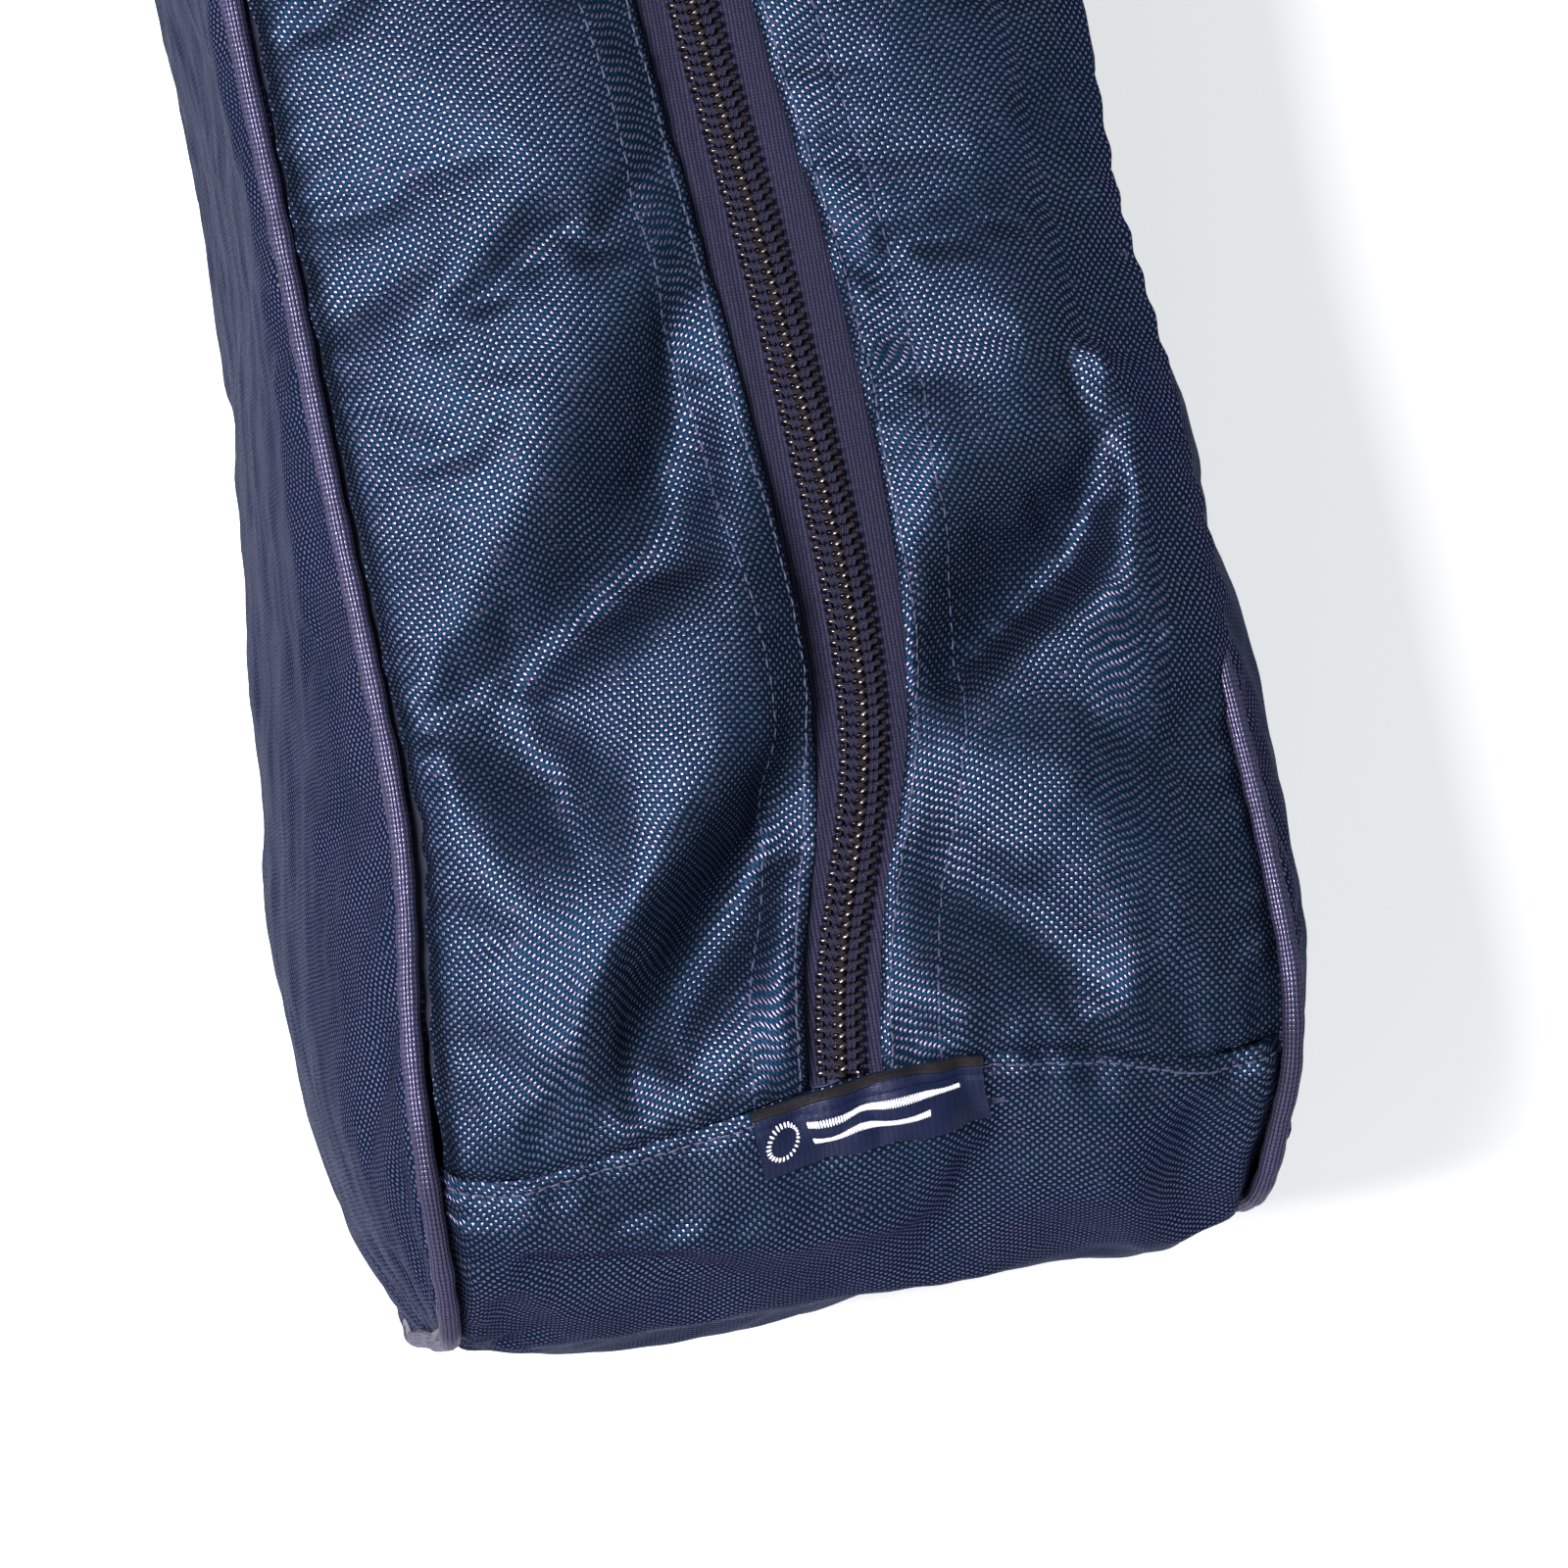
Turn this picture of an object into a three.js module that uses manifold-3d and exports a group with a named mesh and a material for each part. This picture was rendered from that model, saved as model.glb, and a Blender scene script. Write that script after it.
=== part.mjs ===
// Golf shoe bag: a soft zipped case with two piped side panels and a gusset of base, end and top
// panels. Millimetres, +Z up, long axis on Y, front (label) end towards -Y, left side towards -X.
// The two top panels are flaps: each turns about the piping beside it when the zip is opened.

import * as THREE from 'three';
import { LoftGeometry } from 'three/addons/geometries/LoftGeometry.js';
import { mergeVertices } from 'three/addons/utils/BufferGeometryUtils.js';
import Module from 'manifold-3d';

const wasm = await Module();
wasm.setup();

// ---- Driving dimensions ----

const HALF_WIDTH = 65;          // piping centreline to the middle plane
const HALF_LENGTH = 165;        // piping centreline to the middle of the length
const PIPING_BOTTOM = 3;        // height of the lower run of piping
const PIPING_TOP = 180;         // height of the upper run of piping
const PIPING_RADIUS = 1.75;
const TOP_CORNER = 38;          // corner radius of the side panels at the top
const BASE_CORNER = 28;         // corner radius of the side panels at the base
const GUSSET_CROWN = 8;         // how far the top and end panels stand out in the middle
const SIDE_BULGE = 13;          // how far a side panel stands out in the middle
const WALL = 1.5;               // fabric, foam and lining together
const GAP = 0.35;               // clearance between separate pieces
const GUSSET_EDGE = HALF_WIDTH - PIPING_RADIUS - GAP - 0.1;

const CROSS_SEAM_ANGLE = THREE.MathUtils.degToRad(17);  // round the end corner, from straight up
const ZIP_FOLD = 10;            // folded edge of a top panel to the middle of the zip
const TAPE_OUTER = 17;
const TAPE_THICKNESS = 0.8;
const COIL_HALF_WIDTH = 3.9;
const COIL_HEIGHT = 2.6;
const COIL_SPLIT = 0.25;        // half the line between the two closed coils

const SLIDER_LENGTH = 17;
const SLIDER_REST_Y = 104;      // middle of the slider with the zip closed
const SLIDER_TRAVEL = 222;
const SLIDER_LEAD = 30;         // sewn-fast zip that the slider clears before the flaps' own coils
const DIVIDER_HALF_WIDTH = 1.8;

const WEBBING_WIDTH = 25;
const WEBBING_THICKNESS = 1.8;

// ---- Places that follow from them ----

const CORNER_Y = HALF_LENGTH - TOP_CORNER;
const CORNER_Z = PIPING_TOP - TOP_CORNER;
const BASE_CORNER_Y = HALF_LENGTH - BASE_CORNER;
const BASE_CORNER_Z = PIPING_BOTTOM + BASE_CORNER;
const CROWN_TOP = PIPING_TOP + 1 + GUSSET_CROWN;
const SEAM_Y = CORNER_Y + TOP_CORNER * Math.sin(CROSS_SEAM_ANGLE);
const TAPE_TOP = CROWN_TOP - WALL - GAP;
const COIL_BOTTOM = TAPE_TOP - TAPE_THICKNESS;
const COIL_TOP = COIL_BOTTOM + COIL_HEIGHT;
const FLAP_ZIP_REAR = SLIDER_REST_Y - SLIDER_LENGTH / 2 - SLIDER_LEAD;
const SLIDER_OPEN_Y = SLIDER_REST_Y - SLIDER_TRAVEL;
const FLAP_ZIP_FRONT = SLIDER_OPEN_Y + SLIDER_LENGTH / 2 + 4;

// ---- Materials ----

function finish(color, roughness, metalness = 0) {
  return new THREE.MeshStandardMaterial({ color, roughness, metalness });
}

const materials = {
  fabric: finish('#1f3256', 0.85),
  board: finish('#26282d', 0.7),
  piping: finish('#3a3f63', 0.6),
  tape: finish('#2c2947', 0.9),
  coil: finish('#15161d', 0.45),
  metal: finish('#5a5656', 0.35, 0.9),
  webbing: finish('#1c2440', 0.85),
  label: finish('#161a33', 0.5),
  binding: finish('#20263a', 0.9),
};

const bag = new THREE.Group();

function add(name, geometry, material) {
  const mesh = new THREE.Mesh(geometry, materials[material]);
  mesh.name = name;
  bag.add(mesh);
  return mesh;
}

// ---- Helpers ----

// Numbers from a to b in equal steps, ends included.
function range(a, b, steps) {
  return Array.from({ length: steps + 1 }, (_, i) => a + (b - a) * i / steps);
}

// The geometry with every triangle turned the other way round.
function turned(geometry) {
  const copy = new THREE.BufferGeometry().copy(geometry.index ? geometry.toNonIndexed() : geometry);
  const p = copy.getAttribute('position');
  const second = new THREE.Vector3();
  const third = new THREE.Vector3();
  for (let i = 0; i < p.count; i += 3) {
    second.fromBufferAttribute(p, i + 1);
    third.fromBufferAttribute(p, i + 2);
    p.setXYZ(i + 1, third.x, third.y, third.z);
    p.setXYZ(i + 2, second.x, second.y, second.z);
  }
  copy.computeVertexNormals();
  return copy;
}

function middleOf(points) {
  return points.reduce((sum, p) => sum.add(p), new THREE.Vector3()).divideScalar(points.length);
}

// Normal of a closed ring of points, by the right-hand rule.
function ringNormal(points) {
  const normal = new THREE.Vector3();
  points.forEach((p, i) => normal.add(p.clone().cross(points[(i + 1) % points.length])));
  return normal.normalize();
}

// A closed solid through closed sections, facing out; loop joins the last section to the first.
function loft(sections, loop = false) {
  const ahead = middleOf(sections[1]).sub(middleOf(sections[0]));
  const ordered = ringNormal(sections[0]).dot(ahead) > 0 ? sections
    : sections.map(section => [...section].reverse());
  if (loop) return new LoftGeometry([...ordered, ordered[0]]);
  return new LoftGeometry(ordered, { capStart: true, capEnd: true });
}

function box(x0, x1, y0, y1, z0, z1) {
  const geometry = new THREE.BoxGeometry(x1 - x0, y1 - y0, z1 - z0);
  return geometry.translate((x0 + x1) / 2, (y0 + y1) / 2, (z0 + z1) / 2);
}

// The same solid on the other side of the middle plane.
function mirrored(geometry) {
  return turned(geometry).scale(-1, 1, 1);
}

function addPair(name, suffix, leftGeometry, material) {
  add(`${name}_left${suffix}`, leftGeometry, material);
  add(`${name}_right${suffix}`, mirrored(leftGeometry), material);
}

function toSolid(geometry) {
  const bare = new THREE.BufferGeometry().copy(geometry);
  bare.deleteAttribute('normal');
  bare.deleteAttribute('uv');
  const merged = mergeVertices(bare, 1e-4);
  return new wasm.Manifold(new wasm.Mesh({
    numProp: 3,
    vertProperties: new Float32Array(merged.attributes.position.array),
    triVerts: new Uint32Array(merged.index.array),
  }));
}

function toGeometry(solid) {
  const mesh = solid.getMesh();
  const geometry = new THREE.BufferGeometry();
  geometry.setAttribute('position', new THREE.BufferAttribute(mesh.vertProperties, 3));
  geometry.setIndex(new THREE.BufferAttribute(mesh.triVerts, 1));
  geometry.computeVertexNormals();
  return geometry;
}

function joined(geometries) {
  return toGeometry(geometries.map(toSolid).reduce((all, next) => all.add(next)));
}

// How far the gusset stands out at x, full in the middle and nothing at the piping.
function crown(x) {
  return GUSSET_CROWN * (1 - (x / HALF_WIDTH) ** 2);
}

// Outer height of the top gusset at x.
function topHeight(x) {
  return PIPING_TOP + 1 + crown(x);
}

// A point on the rear end's outline at x: angle 0 is straight up, 90 degrees is straight back.
function topCornerPoint(x, angle, inset = 0) {
  const radius = TOP_CORNER + crown(x) - inset;
  return new THREE.Vector3(x, CORNER_Y + radius * Math.sin(angle), CORNER_Z + radius * Math.cos(angle));
}

// The bottom corner, from 90 degrees (straight back) to 180 degrees (straight down).
function baseCornerPoint(x, angle, inset = 0) {
  const down = (angle - Math.PI / 2) / (Math.PI / 2);
  const stand = THREE.MathUtils.lerp(crown(x), PIPING_BOTTOM, down);
  const radius = BASE_CORNER + stand - inset;
  return new THREE.Vector3(x, BASE_CORNER_Y + radius * Math.sin(angle),
    BASE_CORNER_Z + radius * Math.cos(angle));
}

// ---- Side panels ----

const SIDE_INSET = PIPING_RADIUS + GAP + 0.1;

function sidePanel() {
  const length = HALF_LENGTH - SIDE_INSET;
  const topRadius = TOP_CORNER - SIDE_INSET;
  const baseRadius = BASE_CORNER - SIDE_INSET;
  const stations = range(-1, 1, 24).map(t => Math.sign(t) * (1 - (1 - Math.abs(t)) ** 2) * length);
  const sections = stations.map((y) => {
    const overTop = Math.max(0, Math.abs(y) - CORNER_Y);
    const overBase = Math.max(0, Math.abs(y) - BASE_CORNER_Y);
    const high = CORNER_Z + Math.sqrt(Math.max(0, topRadius ** 2 - overTop ** 2));
    const low = BASE_CORNER_Z - Math.sqrt(Math.max(0, baseRadius ** 2 - overBase ** 2));
    const lengthwise = 1 - Math.abs(y / length) ** 4;
    const outer = range(-1, 1, 10).map((v) => {
      const bulge = SIDE_BULGE * lengthwise * (1 - Math.abs(v) ** 3);
      return new THREE.Vector3(-HALF_WIDTH - bulge, y, (low + high) / 2 + v * (high - low) / 2);
    });
    const inner = outer.map(p => p.clone().add(new THREE.Vector3(WALL, 0, 0))).reverse();
    return [...outer, ...inner];
  });
  return loft(sections);
}

addPair('side_panel', '', sidePanel(), 'fabric');

// ---- Piping: one loop round each side panel ----

// The rounded outline that the piping follows, as places (y, z) with their outward directions.
function outline() {
  const corners = [
    [CORNER_Y, CORNER_Z, TOP_CORNER, 0],
    [BASE_CORNER_Y, BASE_CORNER_Z, BASE_CORNER, 90],
    [-BASE_CORNER_Y, BASE_CORNER_Z, BASE_CORNER, 180],
    [-CORNER_Y, CORNER_Z, TOP_CORNER, 270],
  ];
  return corners.flatMap(([y, z, radius, start]) => range(start, start + 90, 6).map((degrees) => {
    const angle = THREE.MathUtils.degToRad(degrees);
    const out = new THREE.Vector3(0, Math.sin(angle), Math.cos(angle));
    return { at: new THREE.Vector3(0, y, z).addScaledVector(out, radius), out };
  }));
}

// A band that follows the outline. profile holds [x, outward] pairs round its section.
function outlineBand(profile) {
  return loft(outline().map(({ at, out }) => profile.map(([x, outward]) =>
    at.clone().addScaledVector(out, outward).add(new THREE.Vector3(x, 0, 0)))), true);
}

const pipingProfile = range(0, 315, 7).map((degrees) => {
  const angle = THREE.MathUtils.degToRad(degrees);
  return [-HALF_WIDTH + PIPING_RADIUS * Math.cos(angle), PIPING_RADIUS * Math.sin(angle)];
});
addPair('piping', '', outlineBand(pipingProfile), 'piping');

// Tape that binds the raw edges of each piped seam, inside the bag.
const BINDING_WIDTH = 8;
const BINDING_DEPTH = 3.7;
const BINDING_THICKNESS = 1.2;
const bindingEdge = -(GUSSET_EDGE - 0.4);
addPair('seam_binding', '', outlineBand([
  [bindingEdge, -BINDING_DEPTH + BINDING_THICKNESS],
  [bindingEdge + BINDING_WIDTH, -BINDING_DEPTH + BINDING_THICKNESS],
  [bindingEdge + BINDING_WIDTH, -BINDING_DEPTH],
  [bindingEdge, -BINDING_DEPTH],
]), 'binding');

// ---- Base ----

const BOARD_THICKNESS = 2;
add('base_panel', box(-GUSSET_EDGE, GUSSET_EDGE, -BASE_CORNER_Y + GAP, BASE_CORNER_Y - GAP, 0, WALL),
  'fabric');
add('base_board', box(-52, 52, -BASE_CORNER_Y + 3, BASE_CORNER_Y - 3, WALL + GAP,
  WALL + GAP + BOARD_THICKNESS), 'board');

// ---- End panels ----

const END_COLUMNS = 10;

function endPanel() {
  const topAngles = range(CROSS_SEAM_ANGLE, Math.PI / 2, 5);
  const baseAngles = range(Math.PI / 2, Math.PI, 5);
  const sections = range(-GUSSET_EDGE, GUSSET_EDGE, END_COLUMNS).map((x) => {
    const skin = inset => [
      ...topAngles.map(angle => topCornerPoint(x, angle, inset)),
      ...baseAngles.map(angle => baseCornerPoint(x, angle, inset)),
    ];
    return [...skin(0), ...skin(WALL).reverse()];
  });
  return loft(sections);
}

function atFront(geometry) {
  return geometry.rotateZ(Math.PI);
}

add('rear_end_panel', endPanel(), 'fabric');
add('front_end_panel', atFront(endPanel()), 'fabric');

// Binding on the raw edges of the two cross seams.
function crossBinding() {
  const angles = range(CROSS_SEAM_ANGLE - 0.1, CROSS_SEAM_ANGLE + 0.1, 1);
  const top = WALL + GAP + 0.6;
  const half = -bindingEdge - BINDING_WIDTH - 2;
  return loft(range(half, -half, 8).map(x => [
    ...angles.map(angle => topCornerPoint(x, angle, top)),
    ...angles.map(angle => topCornerPoint(x, angle, top + BINDING_THICKNESS)).reverse(),
  ]));
}

add('cross_seam_binding_rear', crossBinding(), 'binding');
add('cross_seam_binding_front', atFront(crossBinding()), 'binding');

// ---- Top panels and their zip tapes and coils ----

// A strip under the crowned top, from x0 to x1, hanging drop below the outer skin.
function topStrip(x0, x1, y0, y1, drop, thickness, columns) {
  const skin = (y, lower) => range(x0, x1, columns).map(x =>
    new THREE.Vector3(x, y, topHeight(x) - lower));
  const section = y => [...skin(y, drop + thickness), ...skin(y, drop).reverse()];
  return loft([section(y1), section(y0)]);
}

const FLAP_END = SEAM_Y - 0.8;
addPair('top_panel', '', topStrip(-GUSSET_EDGE + 0.8, -ZIP_FOLD, -FLAP_END, FLAP_END, 0, WALL, 8),
  'fabric');

function tape(y0, y1, innerEdge) {
  return box(-TAPE_OUTER, -innerEdge, y0, y1, COIL_BOTTOM, TAPE_TOP)
    .translate(0, 0, topHeight(TAPE_OUTER) - CROWN_TOP);
}

// Half of the zip's coil, as a bar with rounded upper and lower edges.
function coil(y0, y1, innerEdge, outerEdge) {
  const half = (outerEdge - innerEdge) / 2;
  const profile = range(22.5, 337.5, 7).map((degrees) => {
    const angle = THREE.MathUtils.degToRad(degrees);
    return [Math.cos(angle), Math.sin(angle)];
  });
  const scale = Math.cos(Math.PI / 8);
  const section = y => profile.map(([c, s]) => new THREE.Vector3(
    -(innerEdge + half) + half * c / scale, y, (COIL_BOTTOM + COIL_TOP) / 2 + COIL_HEIGHT / 2 * s / scale));
  return loft([section(y1), section(y0)]);
}

const TAPE_INNER = COIL_HALF_WIDTH + GAP;
const CUT = 0.4;               // half the line between the moving zip and its sewn-fast ends
const ZIP_END = SEAM_Y - 1.2;

addPair('zip_tape', '', tape(FLAP_ZIP_FRONT + CUT, FLAP_ZIP_REAR - CUT, TAPE_INNER), 'tape');
addPair('zip_coil', '', coil(FLAP_ZIP_FRONT + CUT, FLAP_ZIP_REAR - CUT, COIL_SPLIT, COIL_HALF_WIDTH),
  'coil');

// The front end stays closed: the opened slider stops on it.
addPair('zip_tape', '_front_end', tape(-ZIP_END, FLAP_ZIP_FRONT - CUT, TAPE_INNER), 'tape');
addPair('zip_coil', '_front_end', coil(-ZIP_END, SLIDER_OPEN_Y + 1, COIL_SPLIT, COIL_HALF_WIDTH), 'coil');

// At the rear end the two coils stand either side of the slider's divider.
const SPREAD_INNER = DIVIDER_HALF_WIDTH + 0.4;
const SPREAD_OUTER = SPREAD_INNER + 2.5;
const REAR_TAPE_INNER = SPREAD_OUTER + GAP;
addPair('zip_tape', '_rear_end', tape(FLAP_ZIP_REAR + CUT, ZIP_END, REAR_TAPE_INNER), 'tape');
addPair('zip_coil', '_rear_end', coil(FLAP_ZIP_REAR + CUT, ZIP_END, SPREAD_INNER, SPREAD_OUTER), 'coil');

// ---- Zip slider ----

const PLATE = 1.4;
const SLOT_CLEARANCE = 0.4;
const NOSE_HALF_WIDTH = 6.8;
const TAIL_HALF_WIDTH = 5.6;
const FLANGE = 1.1;
const SLIDER_TOP = COIL_TOP + SLOT_CLEARANCE + PLATE;
const LOWER_PLATE_TOP = COIL_BOTTOM - SLOT_CLEARANCE - 0.6;

// Plan of a slider plate: broad at the nose (+Y), narrower at the tail, with rounded corners.
function platePlan() {
  const end = SLIDER_LENGTH / 2;
  const plan = new THREE.Shape();
  plan.moveTo(-TAIL_HALF_WIDTH + 1.5, -end);
  plan.lineTo(TAIL_HALF_WIDTH - 1.5, -end);
  plan.quadraticCurveTo(TAIL_HALF_WIDTH, -end, TAIL_HALF_WIDTH, -end + 1.5);
  plan.lineTo(TAIL_HALF_WIDTH, -1);
  plan.quadraticCurveTo(TAIL_HALF_WIDTH, 1.5, NOSE_HALF_WIDTH, 2.5);
  plan.lineTo(NOSE_HALF_WIDTH, end - 3);
  plan.quadraticCurveTo(NOSE_HALF_WIDTH - 1, end, 2, end);
  plan.lineTo(-2, end);
  plan.quadraticCurveTo(-NOSE_HALF_WIDTH + 1, end, -NOSE_HALF_WIDTH, end - 3);
  plan.lineTo(-NOSE_HALF_WIDTH, 2.5);
  plan.quadraticCurveTo(-TAIL_HALF_WIDTH, 1.5, -TAIL_HALF_WIDTH, -1);
  plan.lineTo(-TAIL_HALF_WIDTH, -end + 1.5);
  plan.quadraticCurveTo(-TAIL_HALF_WIDTH, -end, -TAIL_HALF_WIDTH + 1.5, -end);
  return plan;
}

function sliderBody() {
  const plate = height => new THREE.ExtrudeGeometry(platePlan(),
    { depth: PLATE, bevelEnabled: false, curveSegments: 4 }).translate(0, 0, height);
  const flangeBottom = TAPE_TOP + 0.4;
  const flange = side => box(side * TAIL_HALF_WIDTH - FLANGE / 2, side * TAIL_HALF_WIDTH + FLANGE / 2,
    -SLIDER_LENGTH / 2 + 2, SLIDER_LENGTH / 2 - 3, flangeBottom, SLIDER_TOP - PLATE / 2);
  const divider = box(-DIVIDER_HALF_WIDTH, DIVIDER_HALF_WIDTH, 3, 7.5,
    LOWER_PLATE_TOP - PLATE / 2, SLIDER_TOP - PLATE / 2);
  return joined([
    plate(SLIDER_TOP - PLATE), plate(LOWER_PLATE_TOP - PLATE), flange(-1), flange(1), divider,
  ]).translate(0, SLIDER_REST_Y, 0);
}

add('zip_slider_body', sliderBody(), 'metal');

const BRIDGE_HALF_LENGTH = 5.6;
const BRIDGE_HEIGHT = 4.3;
const BRIDGE_WIDTH = 3.4;
const BRIDGE_WINDOW = 2.9;

// The arch on the slider that carries the pull tab.
function bridge() {
  const arch = new THREE.Shape();
  arch.moveTo(-BRIDGE_HALF_LENGTH, 0);
  arch.lineTo(-BRIDGE_HALF_LENGTH, BRIDGE_WINDOW - 0.5);
  arch.quadraticCurveTo(-BRIDGE_HALF_LENGTH, BRIDGE_HEIGHT, -BRIDGE_HALF_LENGTH + 2, BRIDGE_HEIGHT);
  arch.lineTo(BRIDGE_HALF_LENGTH - 2, BRIDGE_HEIGHT);
  arch.quadraticCurveTo(BRIDGE_HALF_LENGTH, BRIDGE_HEIGHT, BRIDGE_HALF_LENGTH, BRIDGE_WINDOW - 0.5);
  arch.lineTo(BRIDGE_HALF_LENGTH, 0);
  arch.lineTo(BRIDGE_HALF_LENGTH - 1.8, 0);
  arch.lineTo(BRIDGE_HALF_LENGTH - 1.8, BRIDGE_WINDOW);
  arch.lineTo(-BRIDGE_HALF_LENGTH + 1.8, BRIDGE_WINDOW);
  arch.lineTo(-BRIDGE_HALF_LENGTH + 1.8, 0);
  const solid = new THREE.ExtrudeGeometry(arch,
    { depth: BRIDGE_WIDTH, bevelEnabled: false, curveSegments: 4 });
  return solid.translate(0, 0, -BRIDGE_WIDTH / 2).rotateY(Math.PI / 2).rotateX(Math.PI / 2)
    .translate(0, SLIDER_REST_Y, SLIDER_TOP + 0.3);
}

add('zip_slider_bridge', bridge(), 'metal');

// ---- Pull tab, lying back over the closed end of the zip ----

const TAB_LENGTH = 29;
const TAB_HALF_WIDTH = 4.6;
const TAB_THICKNESS = 1.6;
const TAB_WINDOW_HALF = BRIDGE_WIDTH / 2 + 0.6;
const TAB_WINDOW_LENGTH = 9.6;
const TAB_PIVOT_Y = SLIDER_REST_Y + 2.2;
const TAB_PIVOT_Z = SLIDER_TOP + 0.3 + BRIDGE_WINDOW / 2;

function pullTab() {
  const plan = new THREE.Shape();
  plan.moveTo(-TAB_HALF_WIDTH, -0.7);
  plan.lineTo(TAB_HALF_WIDTH, -0.7);
  plan.lineTo(TAB_HALF_WIDTH, TAB_LENGTH - TAB_HALF_WIDTH);
  plan.absarc(0, TAB_LENGTH - TAB_HALF_WIDTH, TAB_HALF_WIDTH, 0, Math.PI, false);
  const window = new THREE.Path();
  window.moveTo(-TAB_WINDOW_HALF, 0.7);
  window.lineTo(-TAB_WINDOW_HALF, 0.7 + TAB_WINDOW_LENGTH);
  window.lineTo(TAB_WINDOW_HALF, 0.7 + TAB_WINDOW_LENGTH);
  window.lineTo(TAB_WINDOW_HALF, 0.7);
  const eye = new THREE.Path();
  eye.absarc(0, TAB_LENGTH - TAB_HALF_WIDTH, 2, 0, Math.PI * 2, true);
  plan.holes.push(window, eye);
  return new THREE.ExtrudeGeometry(plan, { depth: TAB_THICKNESS, bevelEnabled: false, curveSegments: 8 })
    .translate(0, TAB_PIVOT_Y, TAB_PIVOT_Z - TAB_THICKNESS / 2);
}

add('zip_pull_tab', pullTab(), 'metal');

// ---- Carry loop: a teardrop of webbing sewn into the rear cross seam ----

const LOOP_CLEARANCE = 1;
const LOOP_HANG = 68;          // straight part of the leg that lies on the rear end
const LOOP_REACH = 23;         // how far the outer leg stands off the inner one
const LOOP_TIP_ANGLE = CROSS_SEAM_ANGLE + 0.16;
const LEG_RADIUS = TOP_CORNER + GUSSET_CROWN + LOOP_CLEARANCE + WEBBING_THICKNESS / 2;

// A point off the rear top corner: angle from straight up, and distance from the corner's centre.
function polar(angle, radius) {
  return new THREE.Vector3(0, CORNER_Y + radius * Math.sin(angle), CORNER_Z + radius * Math.cos(angle));
}

function loopRoute() {
  const legY = CORNER_Y + LEG_RADIUS;
  const low = CORNER_Z - LOOP_HANG;
  const down = range(LOOP_TIP_ANGLE, Math.PI / 2, 5).map(angle => polar(angle, LEG_RADIUS));
  const bend = [
    new THREE.Vector3(0, legY, low + 22),
    new THREE.Vector3(0, legY + 1.5, low + 7),
    new THREE.Vector3(0, legY + 9, low),
    new THREE.Vector3(0, legY + 17, low + 6),
    new THREE.Vector3(0, legY + LOOP_REACH, low + 26),
    new THREE.Vector3(0, legY + LOOP_REACH, CORNER_Z - 18),
  ];
  const up = [1.25, 0.9, 0.62].map((angle, i) => polar(angle, LEG_RADIUS + [17.5, 9.5, 4.6][i]));
  const tip = polar(LOOP_TIP_ANGLE - 0.02, LEG_RADIUS + 3.4);
  return new THREE.CatmullRomCurve3([...down, ...bend, ...up, tip], true, 'centripetal');
}

const LOOP_STEPS = 64;

function carryLoop() {
  const route = loopRoute();
  const across = new THREE.Vector3(WEBBING_WIDTH / 2, 0, 0);
  return loft(range(0, 1, LOOP_STEPS).slice(0, -1).map((t) => {
    const along = route.getTangentAt(t);
    const out = new THREE.Vector3(0, along.z, -along.y).multiplyScalar(WEBBING_THICKNESS / 2);
    const at = route.getPointAt(t);
    return [
      at.clone().add(across).add(out), at.clone().sub(across).add(out),
      at.clone().sub(across).sub(out), at.clone().add(across).sub(out),
    ];
  }), true);
}

add('carry_loop', carryLoop(), 'webbing');

// The stitched-down ends of the same webbing, where they leave the seam.
function loopAnchor() {
  const angles = range(CROSS_SEAM_ANGLE + 0.015, LOOP_TIP_ANGLE - 0.075, 1);
  const low = LEG_RADIUS - WEBBING_THICKNESS / 2 - 0.4;
  return loft([WEBBING_WIDTH / 2, -WEBBING_WIDTH / 2].map(x => [
    ...angles.map(angle => polar(angle, low + 2 * WEBBING_THICKNESS).setX(x)),
    ...angles.map(angle => polar(angle, low).setX(x)).reverse(),
  ]));
}

add('carry_loop_anchor', loopAnchor(), 'webbing');

// ---- Woven label, sewn into the front cross seam and hanging over the front end ----

const LABEL_WIDTH = 36;
const LABEL_HEIGHT = 11;
const LABEL_MIDDLE_X = 2;
const LABEL_THICKNESS = 0.6;
const LABEL_START = CROSS_SEAM_ANGLE + 0.02;

function label() {
  const inner = TOP_CORNER + GUSSET_CROWN + 0.5;
  const angles = range(LABEL_START, LABEL_START + LABEL_HEIGHT / inner, 4);
  return loft([LABEL_WIDTH / 2, -LABEL_WIDTH / 2].map(x => [
    ...angles.map(angle => polar(angle, inner + LABEL_THICKNESS).setX(x)),
    ...angles.map(angle => polar(angle, inner).setX(x)).reverse(),
  ]));
}

add('woven_label', atFront(label()).translate(LABEL_MIDDLE_X, 0, 0), 'label');

// ---- Origin: under the middle of the whole object, on the surface it stands on ----

const bounds = new THREE.Box3().setFromObject(bag, true);
const middle = bounds.getCenter(new THREE.Vector3());
bag.position.set(-middle.x, -middle.y, -bounds.min.z);

export default bag;
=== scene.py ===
import math

import bmesh
import bpy
import numpy as np
from mathutils import Matrix, Vector


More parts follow.
